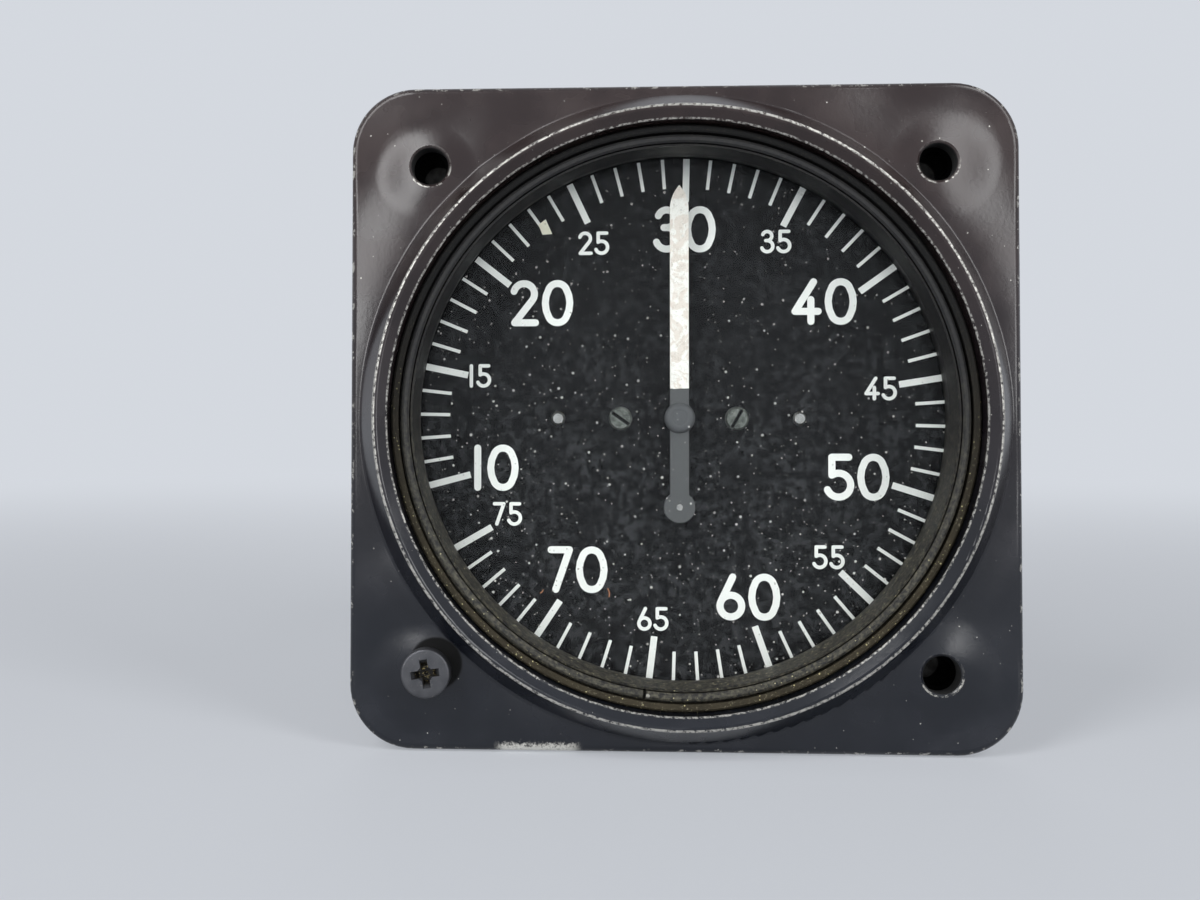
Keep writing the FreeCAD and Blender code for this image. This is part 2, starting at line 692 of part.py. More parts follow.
def make_pillar_screws(seat_y, way):
    """The four screws at one end of the pillars."""
    length = PLATE_T + PILLAR_TAP_DEPTH - TAP_CLEAR
    return Part.makeCompound([
        slotted_screw(SCREW_HEAD_R, SCREW_HEAD_H, SCREW_R, length, seat_y, x, z, SLOT_TURN_STEP * i, way)
        for i, (x, z) in enumerate(pillar_places())
    ])


def make_movement_screws():
    """Three screws that hold the movement against the case's lugs."""
    screws = []
    for angle in LUG_ANGLES:
        x, z = polar(lug_screw_circle(), angle)
        screws.append(slotted_screw(SCREW_HEAD_R, SCREW_HEAD_H, LUG_SCREW_R - FIT, LUG_SCREW_L, PLATE_BACK_Y,
                                    x, z, angle, -1))
    return Part.makeCompound(screws)


def make_bushes(front_pivot_r, rear_pivot_r, x):
    """The pair of bearing bushes of one shaft."""
    pair = []
    for pivot_r, y in ((front_pivot_r, PLATE_Y), (rear_pivot_r, REAR_PLATE_Y)):
        pair.append(ring(bush_hole(pivot_r), pivot_r + FIT, y, y + PLATE_T, x))
    return Part.makeCompound(pair)


def stop_places():
    """Where the two stop pins stand, just past the sector's edges at its limits."""
    clear = math.degrees((STOP_R + STOP_CLEAR) / STOP_CIRCLE_R)
    low, high = sector_edges()
    lower = polar(STOP_CIRCLE_R, low - SECTOR_HIGH - clear)
    upper = polar(STOP_CIRCLE_R, high - SECTOR_LOW + clear)
    return [(ARBOR_X + x, z) for x, z in (lower, upper)]


def sector_edges():
    """The angles of the sector's two straight edges at rest."""
    tooth = 360.0 / SECTOR_TEETH
    return FIRST_TOOTH * tooth - SECTOR_MARGIN, LAST_TOOTH * tooth + SECTOR_MARGIN


def make_stop_pins():
    """Two pins in the front plate that stop the sector."""
    end_y = SECTOR_FRONT_Y + SECTOR_T + PIN_PROUD
    return Part.makeCompound([rod(STOP_R, PLATE_Y, end_y, x, z) for x, z in stop_places()])


def tooth_outline(teeth, centre_angle):
    """One involute tooth as (radius, angle in degrees) points, from its root on one side to the other."""
    pitch_r = MODULE * teeth / 2
    base_r = pitch_r * math.cos(math.radians(PRESSURE_ANGLE))
    tip_r = pitch_r + ADDENDUM * MODULE
    root_r = pitch_r - DEDENDUM * MODULE
    start_r = max(base_r, root_r)
    half_pitch = math.pi / (2 * teeth) - BACKLASH / 4 / pitch_r

    def lean(radius):
        rolled = math.sqrt(max((radius / base_r) ** 2 - 1, 0))
        return rolled - math.atan(rolled)

    flank = []
    steps = 4
    for i in range(steps + 1):
        radius = start_r + (tip_r - start_r) * i / steps
        flank.append((radius, math.degrees(half_pitch + lean(pitch_r) - lean(radius))))
    if start_r > root_r:
        flank.insert(0, (root_r, flank[0][1]))
    rising = [(r, centre_angle - a) for r, a in flank]
    falling = [(r, centre_angle + a) for r, a in reversed(flank)]
    return rising + falling


def make_staff():
    """The pinion staff: a twelve-leaf pinion between two pivots, with a long nose for the pointer."""
    outline = []
    for i in range(PINION_TEETH):
        for r, a in tooth_outline(PINION_TEETH, 180 + 360.0 / PINION_TEETH * (i + 0.5)):
            outline.append(polar(r, a))
    leaf_y = SECTOR_FRONT_Y + SECTOR_T / 2 - PINION_T / 2
    return fused([
        plate(outline, leaf_y, leaf_y + PINION_T),
        rod(STAFF_FRONT_R, HAND_Y, PLATE_BACK_Y + SHAFT_END_PLAY),
        rod(STAFF_R, PLATE_BACK_Y + SHAFT_END_PLAY, REAR_PLATE_Y - SHAFT_END_PLAY),
        rod(STAFF_PIVOT_R, REAR_PLATE_Y - SHAFT_END_PLAY, REAR_PLATE_BACK_Y - SHAFT_END_PLAY),
    ])


def make_sector():
    """The toothed sector: rim, two arms, boss, slotted web and a tail for its weight."""
    y0 = SECTOR_FRONT_Y
    y1 = y0 + SECTOR_T
    low, high = sector_edges()
    outline = [(0.0, 0.0), polar(SECTOR_PITCH_R - DEDENDUM * MODULE, low)]
    for tooth in range(FIRST_TOOTH, LAST_TOOTH + 1):
        for r, a in tooth_outline(SECTOR_TEETH, tooth * 360.0 / SECTOR_TEETH):
            outline.append(polar(r, a))
    outline.append(polar(SECTOR_PITCH_R - DEDENDUM * MODULE, high))
    blank = plate([(ARBOR_X + x, z) for x, z in outline], y0, y1)
    web_r = LEVER + SECTOR_WEB
    inner_r = SECTOR_PITCH_R - DEDENDUM * MODULE - SECTOR_RIM
    span = [polar(1.0, low), polar(1.0, high), polar(1.0, SECTOR_MID)]
    window = ring(inner_r, web_r, y0, y1, ARBOR_X)
    wedge_tip = [SECTOR_ARM_W / math.sin(math.radians((high - low) / 2)) * c for c in span[2]]
    reach = 2 * SECTOR_PITCH_R
    wedge = plate([(ARBOR_X + wedge_tip[0], wedge_tip[1])] + [
        (ARBOR_X + wedge_tip[0] + reach * c[0], wedge_tip[1] + reach * c[1]) for c in span[:2]
    ], y0, y1)
    blank = blank.cut(window.common(wedge))
    tail_corner = V(ARBOR_X - SECTOR_TAIL_L, y0, -SECTOR_TAIL_W / 2)
    tail = Part.makeBox(SECTOR_TAIL_L, SECTOR_T, SECTOR_TAIL_W, tail_corner)
    tail = turn(tail, -SECTOR_MID, ARBOR_X)
    boss_y = y1 + SECTOR_BOSS_RISE
    body = fused([blank, tail, rod(SECTOR_BOSS_R, y0, boss_y, ARBOR_X), rod(WEIGHT_R, y0, y1, *tail_place())])
    body = body.cut(rod(ARBOR_R, y0, boss_y, ARBOR_X))
    slot_half = DRIVE_PIN_R + DRIVE_PLAY
    slot = rounded_rectangle(CAPSULE_X - slot_half - LEVER_SHORTENS, CAPSULE_X + slot_half + LEVER_GROWS,
                             -slot_half, slot_half, slot_half * SLOT_END, y0, y1)
    return body.cut(turn(slot, -SECTOR_MID, ARBOR_X))


def tail_place():
    """The (x, z) place of the weight on the sector's tail."""
    x, z = polar(SECTOR_TAIL_L, 180 + SECTOR_MID)
    return ARBOR_X + x, z


def make_sector_weight():
    """The disc riveted on the sector's tail, which balances it."""
    y0 = SECTOR_FRONT_Y + SECTOR_T
    return rod(WEIGHT_R, y0, y0 + WEIGHT_T, *tail_place())


def make_arbor():
    """The sector's shaft, with a pivot at each end."""
    return fused([
        rod(ARBOR_R, PLATE_BACK_Y + SHAFT_END_PLAY, REAR_PLATE_Y - SHAFT_END_PLAY, ARBOR_X),
        rod(PIVOT_R, PLATE_Y + SHAFT_END_PLAY, REAR_PLATE_BACK_Y - SHAFT_END_PLAY, ARBOR_X),
    ])


def half_ring(mid_r, thickness, y0, y1, x, upper):
    """Half of a thin ring, above or below the middle plane."""
    whole = ring(mid_r + thickness / 2, mid_r - thickness / 2, y0, y1, x)
    side = 2 * mid_r + 2
    low_z = 0 if upper else -side
    return whole.common(Part.makeBox(2 * side, y1 - y0, side, V(x - side, y0, low_z)))


def hairspring_end_x():
    """Where the hairspring's outer end stands."""
    return COLLET_R + FIT + HAIRSPRING_T / 2 + HAIRSPRING_PITCH * HAIRSPRING_TURNS


def make_hairspring():
    """The flat spiral that takes up the gears' play, as half rings that grow turn by turn."""
    y0 = PLATE_BACK_Y + HAIRSPRING_Y
    y1 = y0 + HAIRSPRING_W
    start_r = COLLET_R + FIT + HAIRSPRING_T / 2
    halves = []
    right = start_r
    left = -start_r - HAIRSPRING_PITCH / 2
    for i in range(HAIRSPRING_TURNS):
        halves.append(half_ring((right - left) / 2, HAIRSPRING_T, y0, y1, (right + left) / 2, True))
        right += HAIRSPRING_PITCH
        halves.append(half_ring((right - left) / 2, HAIRSPRING_T, y0, y1, (right + left) / 2, False))
        left -= HAIRSPRING_PITCH
    return fused(halves)


def make_hairspring_stud():
    """The post on the rear plate that holds the hairspring's outer end."""
    x = hairspring_end_x() + HAIRSPRING_T / 2
    y0 = PLATE_BACK_Y + HAIRSPRING_Y
    return Part.makeBox(STUD_W, REAR_PLATE_Y - y0, STUD_W, V(x, y0, -STUD_W / 2))


def make_collet():
    """The collet on the staff, inside the hairspring."""
    y0 = PLATE_BACK_Y + HAIRSPRING_Y - (COLLET_L - HAIRSPRING_W) / 2
    return ring(COLLET_R, STAFF_R, y0, y0 + COLLET_L)


def make_hand():
    """The pointer's strip: parallel sides, an arched point and a round tail."""
    half = HAND_W / 2
    shoulder_z = HAND_TIP_Z - HAND_POINT_L
    right = Part.Arc(V(half, HAND_Y, shoulder_z), V(0.62 * half, HAND_Y, shoulder_z + 0.62 * HAND_POINT_L),
                     V(0, HAND_Y, HAND_TIP_Z))
    left = Part.Arc(V(0, HAND_Y, HAND_TIP_Z), V(-0.62 * half, HAND_Y, shoulder_z + 0.62 * HAND_POINT_L),
                    V(-half, HAND_Y, shoulder_z))
    edges = [
        Part.LineSegment(V(half, HAND_Y, -TAIL_Z), V(half, HAND_Y, shoulder_z)).toShape(),
        right.toShape(),
        left.toShape(),
        Part.LineSegment(V(-half, HAND_Y, shoulder_z), V(-half, HAND_Y, -TAIL_Z)).toShape(),
        Part.LineSegment(V(-half, HAND_Y, -TAIL_Z), V(half, HAND_Y, -TAIL_Z)).toShape(),
    ]
    strip = Part.Face(Part.Wire(edges)).extrude(V(0, HAND_T, 0))
    strip = fused([strip, rod(TAIL_R, HAND_Y, HAND_BACK_Y, 0, -TAIL_Z)])
    strip = strip.cut(rod(STAFF_FRONT_R, HAND_Y, HAND_BACK_Y))
    return strip.cut(rod(RIVET_R, HAND_Y, HAND_BACK_Y, 0, -TAIL_Z))


def make_hub_cap():
    """The low domed cap over the pointer's centre."""
    return turned_round([
        (0, HAND_Y),
        (0, HAND_Y - HUB_CAP_H),
        (0.5 * HUB_CAP_R, HAND_Y - HUB_CAP_H),
        (0.87 * HUB_CAP_R, HAND_Y - 0.83 * HUB_CAP_H, "through"),
        (HUB_CAP_R, HAND_Y - 0.4 * HUB_CAP_H),
        (HUB_CAP_R, HAND_Y),
    ])


def make_tail_weight():
    """The thick disc behind the pointer's tail."""
    end_y = HAND_BACK_Y + TAIL_WEIGHT_T
    return ring(TAIL_R, RIVET_R, HAND_BACK_Y, end_y, 0, -TAIL_Z)


def make_tail_rivet():
    """The rivet through the pointer's tail and its weight."""
    return rod(RIVET_R, HAND_Y - RIVET_RISE, HAND_BACK_Y + TAIL_WEIGHT_T, 0, -TAIL_Z)


def wall_z():
    """The inner faces of the bracket's two walls, above and below."""
    return BRACKET_HALF_Z - BRACKET_T


def make_bracket():
    """The bent bracket that holds both capsules, screwed to the rear plate."""
    x0 = CAPSULE_X - BRACKET_W / 2
    y0 = REAR_PLATE_BACK_Y
    reach = CAPSULE_Y - y0 + BRACKET_W / 2
    outer = Part.makeBox(BRACKET_W, reach, 2 * BRACKET_HALF_Z, V(x0, y0, -BRACKET_HALF_Z))
    bends = [e for e in outer.Edges if all(abs(v.Y - y0) < 1e-6 for v in e.Vertexes)
             and abs(e.Vertexes[0].Z - e.Vertexes[1].Z) < 1e-6]
    outer = outer.makeFillet(BRACKET_BEND_R, bends)
    inner = Part.makeBox(BRACKET_W, reach, 2 * wall_z(), V(x0, y0 + BRACKET_T, -wall_z()))
    bends = [e for e in inner.Edges if all(abs(v.Y - y0 - BRACKET_T) < 1e-6 for v in e.Vertexes)
             and abs(e.Vertexes[0].Z - e.Vertexes[1].Z) < 1e-6]
    inner = inner.makeFillet(BRACKET_BEND_R - BRACKET_T, bends)
    body = outer.cut(inner).cut(drive_slot(y0, y0 + BRACKET_T))
    stem_hole_base = V(CAPSULE_X, CAPSULE_Y, -BRACKET_HALF_Z)
    body = body.cut(Part.makeCylinder(STEM_R + FIT, 2 * BRACKET_HALF_Z, stem_hole_base))
    for x, z in bracket_screw_places():
        body = body.cut(rod(SCREW_R + FIT, y0, y0 + BRACKET_T, x, z))
    return body


def make_bracket_screws():
    """Four screws through the bracket into the rear plate."""
    seat_y = REAR_PLATE_BACK_Y + BRACKET_T
    length = BRACKET_T + PLATE_T - BRACKET_SCREW_SHORT
    return Part.makeCompound([
        slotted_screw(SCREW_HEAD_R, SCREW_HEAD_H, SCREW_R, length, seat_y, x, z, SLOT_TURN_STEP * i, -1)
        for i, (x, z) in enumerate(bracket_screw_places())
    ])


def make_capsule(fixed_z, free_z):
    """A stack of corrugated discs from the bracket's wall to the drive post, with a stem through the wall."""
    way = 1 if free_z > fixed_z else -1
    start = fixed_z + way * CAPSULE_COLLAR_H
    end = free_z - way * CAPSULE_COLLAR_H
    pitch = (end - start) / CAPSULE_WAVES
    rim_in_r = CAPSULE_R - CAPSULE_RIM_W
    outline = [(0, fixed_z), (CAPSULE_COLLAR_R, fixed_z), (CAPSULE_COLLAR_R, start)]
    for i in range(CAPSULE_WAVES):
        low = start + pitch * i
        outline += [
            (CAPSULE_NECK_R, low + 0.04 * pitch),
            (rim_in_r, low + 0.36 * pitch),
            (CAPSULE_R, low + 0.4 * pitch),
            (CAPSULE_R, low + 0.6 * pitch),
            (rim_in_r, low + 0.64 * pitch),
            (CAPSULE_NECK_R, low + 0.96 * pitch),
        ]
    outline += [(CAPSULE_COLLAR_R, end), (CAPSULE_COLLAR_R, free_z), (0, free_z)]
    stack = turned_upright(outline, CAPSULE_X, CAPSULE_Y)
    stem_z = min(fixed_z, fixed_z - way * STEM_L)
    return stack.fuse(Part.makeCylinder(STEM_R, STEM_L, V(CAPSULE_X, CAPSULE_Y, stem_z)))


def make_stem_nuts():
    """The nuts on the two stems, outside the bracket's walls."""
    nuts = []
    for z0 in (BRACKET_HALF_Z, -BRACKET_HALF_Z - STEM_NUT_T):
        nut = hexagon_upright(STEM_NUT_AF, z0, z0 + STEM_NUT_T, CAPSULE_X, CAPSULE_Y)
        nuts.append(nut.cut(Part.makeCylinder(STEM_R + FIT, STEM_NUT_T, V(CAPSULE_X, CAPSULE_Y, z0))))
    return Part.makeCompound(nuts)


def make_drive_post():
    """The button between the capsules, with an ear in front that holds the drive pin."""
    half = DRIVE_POST_H / 2
    button = Part.makeCylinder(DRIVE_POST_R, DRIVE_POST_H, V(CAPSULE_X, CAPSULE_Y, DRIVE_PIN_Z - half))
    ear_l = DRIVE_POST_R + DRIVE_EAR_REACH
    corner = V(CAPSULE_X - DRIVE_EAR_W / 2, CAPSULE_Y - ear_l, DRIVE_PIN_Z - DRIVE_EAR_W / 2)
    ear = Part.makeBox(DRIVE_EAR_W, ear_l, DRIVE_EAR_W, corner)
    body = fused([button, ear])
    return body.cut(rod(DRIVE_PIN_R, CAPSULE_Y - ear_l, CAPSULE_Y - DRIVE_PIN_SEAT, CAPSULE_X, DRIVE_PIN_Z))


def make_drive_pin():
    """The pin that carries the capsules' travel to the sector's slot."""
    return rod(DRIVE_PIN_R, SECTOR_FRONT_Y - PIN_PROUD, CAPSULE_Y - DRIVE_PIN_SEAT, CAPSULE_X, DRIVE_PIN_Z)


def make_rear_cover():
    """The round cover with a raised pad and the hole for the fitting."""
    cover = turned([
        (0, COVER_Y),
        (COVER_R, COVER_Y),
        (COVER_R, COVER_BACK_Y - COVER_EDGE_R),
        (COVER_R - COVER_EDGE_R, COVER_BACK_Y),
        (COVER_PAD_R + COVER_PAD_H, COVER_BACK_Y),
        (COVER_PAD_R, PAD_Y),
        (0, PAD_Y),
    ])
    for angle in COVER_LUG_ANGLES:
        x, z = polar(COVER_SCREW_CIRCLE_R, angle)
        cover = cover.cut(rod(COVER_SCREW_R + LOOSE, COVER_Y, COVER_BACK_Y, x, z))
    return cover.cut(rod(FITTING_SHANK_R + LOOSE, COVER_Y, PAD_Y, FITTING_X))


def make_cover_gasket():
    """The gasket under the rear cover, with ears round the screws."""
    parts = [ring(COVER_R, BODY_BORE_R, BARREL_END_Y, COVER_Y)]
    for angle in COVER_LUG_ANGLES:
        parts.append(make_lug(angle, COVER_LUG_IN_R, BARREL_END_Y, COVER_Y, LUG_W, COVER_SCREW_CIRCLE_R,
                              COVER_SCREW_R + LOOSE))
    return fused(parts)


def make_cover_screws():
    """Four slotted screws that hold the rear cover."""
    screws = []
    length = COVER_T + COVER_GASKET_T + COVER_SCREW_BITE
    for angle in COVER_LUG_ANGLES:
        x, z = polar(COVER_SCREW_CIRCLE_R, angle)
        screw = slotted_screw(COVER_SCREW_HEAD_R, COVER_SCREW_HEAD_H, COVER_SCREW_R, length,
                              COVER_BACK_Y, x, z, angle + SLOT_TURN_STEP, -1)
        screws.append(screw)
    return Part.makeCompound(screws)


def make_fitting():
    """The inlet nipple: hexagon, male thread to the rear, shank through the cover."""
    thread_y = HEX_Y + FITTING_HEX_T
    end_y = thread_y + FITTING_THREAD_L
    inner_y = COVER_Y - FITTING_SHANK_IN
    nipple = turned([
        (0, thread_y),
        (FITTING_THREAD_R - FITTING_UNDERCUT, thread_y),
        (FITTING_THREAD_R - FITTING_UNDERCUT, thread_y + FITTING_UNDERCUT_W),
        (FITTING_THREAD_R, thread_y + FITTING_UNDERCUT_W),
        (FITTING_THREAD_R, end_y - FITTING_CHAMFER),
        (FITTING_THREAD_R - FITTING_CHAMFER, end_y),
        (0, end_y),
    ])
    nipple.translate(V(FITTING_X, 0, 0))
    corner_r = FITTING_HEX_AF / math.sqrt(3)
    chamfer = turned([
        (0, HEX_Y),
        (corner_r, HEX_Y),
        (corner_r, thread_y - 0.25 * corner_r),
        (0.86 * corner_r, thread_y),
        (0, thread_y),
    ])
    chamfer.translate(V(FITTING_X, 0, 0))
    hexagon_part = hexagon(FITTING_HEX_AF, HEX_Y, thread_y, FITTING_X).common(chamfer)
    body = fused([nipple, hexagon_part, rod(FITTING_SHANK_R, inner_y, HEX_Y, FITTING_X)])
    body = body.cut(rod(FITTING_BORE_R, COVER_Y, end_y, FITTING_X))
    return body.cut(rod(TUBE_R + FIT, inner_y, COVER_Y, FITTING_X))


def make_restrictor():
    """The drilled plug in the fitting's bore, which damps pulses."""
    y0 = HEX_Y - RESTRICTOR_L / 2
    return ring(FITTING_BORE_R, RESTRICTOR_HOLE_R, y0, y0 + RESTRICTOR_L, FITTING_X)


def make_fitting_nut():
    """The nut on the fitting's shank, inside the cover."""
    y0 = COVER_Y - FITTING_NUT_T
    nut = hexagon(FITTING_NUT_AF, y0, COVER_Y, FITTING_X)
    return nut.cut(rod(FITTING_SHANK_R + FIT, y0, COVER_Y, FITTING_X))


def make_fitting_seal():
    """The washer under the fitting's hexagon."""
    return ring(SEAL_R, FITTING_SHANK_R + FIT, PAD_Y, HEX_Y, FITTING_X)


def bent_path(points, bend_r):
    """A wire of straight runs joined by tangent arcs."""
    edges = []
    start = points[0]
    for before, corner, after in zip(points, points[1:], points[2:]):
        to_start = (before - corner).normalize()
        to_end = (after - corner).normalize()
        back = bend_r / math.tan(to_start.getAngle(to_end) / 2)
        first = corner + to_start * back
        last = corner + to_end * back
        towards = (to_start + to_end).normalize()
        depth = math.hypot(back, bend_r) - bend_r
        edges.append(Part.LineSegment(start, first).toShape())
        edges.append(Part.Arc(first, corner + towards * depth, last).toShape())
        start = last
    edges.append(Part.LineSegment(start, points[-1]).toShape())
    return Part.Wire(edges)


def make_pressure_tube():
    """The tube from the fitting to the pressure capsule's stem."""
    stem_z = -(wall_z() + STEM_L)
    path = bent_path([
        V(FITTING_X, COVER_Y - FITTING_SHANK_IN + TUBE_IN_FITTING, 0),
        V(FITTING_X, CAPSULE_Y, 0),
        V(FITTING_X, CAPSULE_Y, TUBE_LOW_Z),
        V(CAPSULE_X, CAPSULE_Y, TUBE_LOW_Z),
        V(CAPSULE_X, CAPSULE_Y, stem_z),
    ], TUBE_BEND_R)
    section = Part.Wire(Part.makeCircle(TUBE_R, path.Edges[0].Vertexes[0].Point, AXIS_Y))
    return path.makePipeShell([section], True, False)


def make_spacer_ring():
    """The dark ring between the gasket and the dial."""
    out_r = BODY_BORE_R - LOOSE
    return ring(out_r, out_r - SPACER_T, SEAT_Y, DIAL_Y)


def make_glass_gasket():
    """The gasket between the glass and its seat."""
    return ring(WINDOW_BORE_R - LOOSE, BODY_BORE_R - LOOSE - SPACER_T, GLASS_BACK_Y, SEAT_Y)


def make_pointer_hub():
    """The bush that grips the staff behind the pointer."""
    return ring(HUB_R, STAFF_FRONT_R, HAND_BACK_Y, HAND_BACK_Y + HUB_L)


NODES = {
    "case_body": make_case_body(),
    "captive_nuts": make_captive_nuts(),
    "mounting_screw": make_mounting_screw(),
    "cover_glass": make_glass(),
    "glass_gasket": make_glass_gasket(),
    "glass_clamp_ring": make_clamp_ring(),
    "retaining_ring": make_retaining_ring(),
    "glass_packing": make_packing(),
    "dial_spacer_ring": make_spacer_ring(),
    "dial_plate": make_dial(),
    "dial_screws": make_dial_screws(),
    "dial_pins": make_dial_pins(),
    "dial_posts": make_dial_posts(),
    "movement_front_plate": make_front_plate(),
    "movement_rear_plate": make_rear_plate(),
    "movement_pillars": make_pillars(),
    "front_pillar_screws": make_pillar_screws(PLATE_Y, 1),
    "rear_pillar_screws": make_pillar_screws(REAR_PLATE_BACK_Y, -1),
    "movement_screws": make_movement_screws(),
    "staff_bushes": make_bushes(STAFF_FRONT_R, STAFF_PIVOT_R, 0),
    "sector_bushes": make_bushes(PIVOT_R, PIVOT_R, ARBOR_X),
    "sector_stop_pins": make_stop_pins(),
    "hairspring": make_hairspring(),
    "hairspring_stud": make_hairspring_stud(),
    "capsule_bracket": make_bracket(),
    "bracket_screws": make_bracket_screws(),
    "capsule_stem_nuts": make_stem_nuts(),
    "pressure_tube": make_pressure_tube(),
    "pressure_fitting": make_fitting(),
    "fitting_seal": make_fitting_seal(),
    "fitting_nut": make_fitting_nut(),
    "inlet_restrictor": make_restrictor(),
    "rear_cover": make_rear_cover(),
    "rear_cover_gasket": make_cover_gasket(),
    "rear_cover_screws": make_cover_screws(),
    "pinion_staff": make_staff(),
    "hairspring_collet": make_collet(),
    "pointer_hub": make_pointer_hub(),
    "pointer_hand": make_hand(),
    "pointer_hub_cap": make_hub_cap(),
    "pointer_tail_weight": make_tail_weight(),
    "pointer_tail_rivet": make_tail_rivet(),
    "sector_gear": make_sector(),
    "sector_arbor": make_arbor(),
    "sector_weight": make_sector_weight(),
    "aneroid_capsule": make_capsule(wall_z(), DRIVE_PIN_Z + DRIVE_POST_H / 2),
    "pressure_capsule": make_capsule(-wall_z(), DRIVE_PIN_Z - DRIVE_POST_H / 2),
    "drive_post": make_drive_post(),
    "drive_pin": make_drive_pin(),
}

os.makedirs("parts", exist_ok=True)
for node, shape in NODES.items():
    shape.exportStep(f"parts/{node}.step")
    print(node, len(shape.Solids), shape.isValid(), round(shape.Volume, 1))
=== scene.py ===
import json
import math

import bmesh
import bpy
from mathutils import Matrix, Vector


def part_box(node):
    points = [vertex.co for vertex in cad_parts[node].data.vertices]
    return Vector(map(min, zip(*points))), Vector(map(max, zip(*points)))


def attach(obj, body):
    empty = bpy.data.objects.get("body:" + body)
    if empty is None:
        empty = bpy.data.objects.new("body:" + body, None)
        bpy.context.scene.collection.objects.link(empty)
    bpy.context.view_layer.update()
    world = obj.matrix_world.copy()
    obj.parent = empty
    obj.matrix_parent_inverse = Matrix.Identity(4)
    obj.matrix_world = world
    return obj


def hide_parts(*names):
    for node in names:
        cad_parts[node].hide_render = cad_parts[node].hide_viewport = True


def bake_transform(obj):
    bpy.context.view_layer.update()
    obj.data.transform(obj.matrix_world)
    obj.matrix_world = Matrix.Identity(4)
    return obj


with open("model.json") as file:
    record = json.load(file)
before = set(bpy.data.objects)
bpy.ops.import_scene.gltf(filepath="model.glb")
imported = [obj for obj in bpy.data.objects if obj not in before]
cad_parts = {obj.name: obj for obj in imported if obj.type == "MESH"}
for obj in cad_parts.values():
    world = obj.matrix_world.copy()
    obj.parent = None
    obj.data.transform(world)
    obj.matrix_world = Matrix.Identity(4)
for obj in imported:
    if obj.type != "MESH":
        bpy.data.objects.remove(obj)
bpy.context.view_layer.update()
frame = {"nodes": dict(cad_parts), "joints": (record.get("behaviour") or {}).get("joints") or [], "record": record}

MM = 0.001
WELD = MM / 1000

# Places read from the frame
CASE_LOW, CASE_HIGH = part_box("case_body")
CREST_Y = CASE_LOW.y
FLANGE_HALF = CASE_HIGH.x
BARREL_END_Y = CASE_HIGH.y
DIAL_FACE_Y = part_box("dial_plate")[0].y
GLASS_FACE_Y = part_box("cover_glass")[0].y
SCREW_TOP_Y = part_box("mounting_screw")[0].y
DIAL_SCREW_TOP_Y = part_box("dial_screws")[0].y

# Places on the case, its holes and its rings
FACE_Y = -5.0 * MM
BARREL_R = 38.6 * MM
CREST_R = 37.7 * MM
LIP_R = 36.1 * MM
LIP_Y = -9.4 * MM
CROWN_R = 34.45 * MM
CROWN_BACK_Y = -7.6 * MM
CROWN_FRONT_Y = -8.1 * MM
FLANGE_CORNER_R = 8.0 * MM
HOLE_HALF_SPACING = 31.435 * MM
HOLES = [(side_x * HOLE_HALF_SPACING, side_z * HOLE_HALF_SPACING) for side_x in (-1, 1) for side_z in (-1, 1)]
HOLE_R = 2.3 * MM
HOLE_RIM_R = 2.6 * MM
PAD_R = 4.2 * MM
PAD_END_R = 9.5 * MM
FALL_START_R = 42.0 * MM
FALL_END_R = 53.0 * MM
NUT_FACE_Y = -1.6 * MM
NUT_END_Y = 5.6 * MM
NUT_R = 4.8 * MM

# Marks of age, painted shadow and painted shade: places on the case, the rings, the pointer and the dial's screws,
# and round the main axis
CHIP_X = -17.8 * MM
CHIP_HALF = 3.6 * MM
CHIP_H = 1.5 * MM
# Painted shadow of the panel screw's head, up and right of the lower left hole
SCREW_SHADOW = (HOLES[0][0] + 1.0 * MM, HOLES[0][1] + 0.85 * MM)
SCREW_SHADOW_R = 3.5 * MM
SPLIT_BURR = (-4.35 * MM, -33.95 * MM)
BURR_R = 0.32 * MM
PAINT_END_Z = 4.02 * MM
DIAL_SCREW_X = 7.5 * MM
# Painted shade in the dial screws' slots
DIAL_SLOT_R = 1.40 * MM
# Painted shade round the main axis on the movement's brass
AXIS_SHADE_R = 5 * MM

# Camera
IMAGE_W = 1200
IMAGE_H = 900
FOCAL_PX = 1534
SENSOR_W = 36
PRINCIPAL_PX = (512, 404)
CAMERA_LEAN = -1.73
CAMERA_YAW = -3.38
CAMERA_ROLL = 0.10
CAMERA_AWAY = Vector((21.02, 189.4, -1.59)) * MM
CLIP_START = 0.01

# Stage: the floor glows towards the horizon, from the inner radius to the outer
PALE = (0.66, 0.69, 0.74)
FLOOR_COLOUR = (0.62, 0.64, 0.68)
FLOOR_HALF = 3.0
GLOW_IN_R = 0.10
GLOW_OUT_R = 0.55
GLOW_LEAST = 0.45
WORLD_LIGHT = 0.20

# Lamps: name, place, target, size, watts, and whether surfaces mirror the lamp
LAMPS = [
    ("key", (-0.40, -0.55, 0.34), (0, 0, 0), (0.24, 0.80), 4.1, True),
    ("fill", (0.47, -0.52, 0.26), (0, 0, 0), (0.24, 0.80), 3.2, True),
    ("front", (0.0, -0.75, 0.10), (0, 0, 0), (0.30, 0.25), 1.9, False),
    ("back", (0.0, 0.85, 0.16), (0, 0.03, 0), (0.5, 0.3), 2.0, True),
]

# Dial print
PRINT_SHIFT = Vector((0.33, 0, -0.08)) * MM
PRINT_T = 0.04 * MM
PRINT_LAYER = 0.004 * MM
FIRST_VALUE = 10
LAST_VALUE = 75
LONG_EVERY = 5
SWEEP = 345.0
TOP_VALUE = 30
TOP_LEAD = 1.3
TICK_OUT_R = 33.9 * MM
TICK_L = 3.85 * MM
TICK_W = 0.42 * MM
LONG_TICK_L = 5.6 * MM
LONG_TICK_W = 0.85 * MM
BIG_CAP = 6.04 * MM
BIG_STROKE = 0.91 * MM
SMALL_CAP = 3.08 * MM
SMALL_STROKE = 0.45 * MM

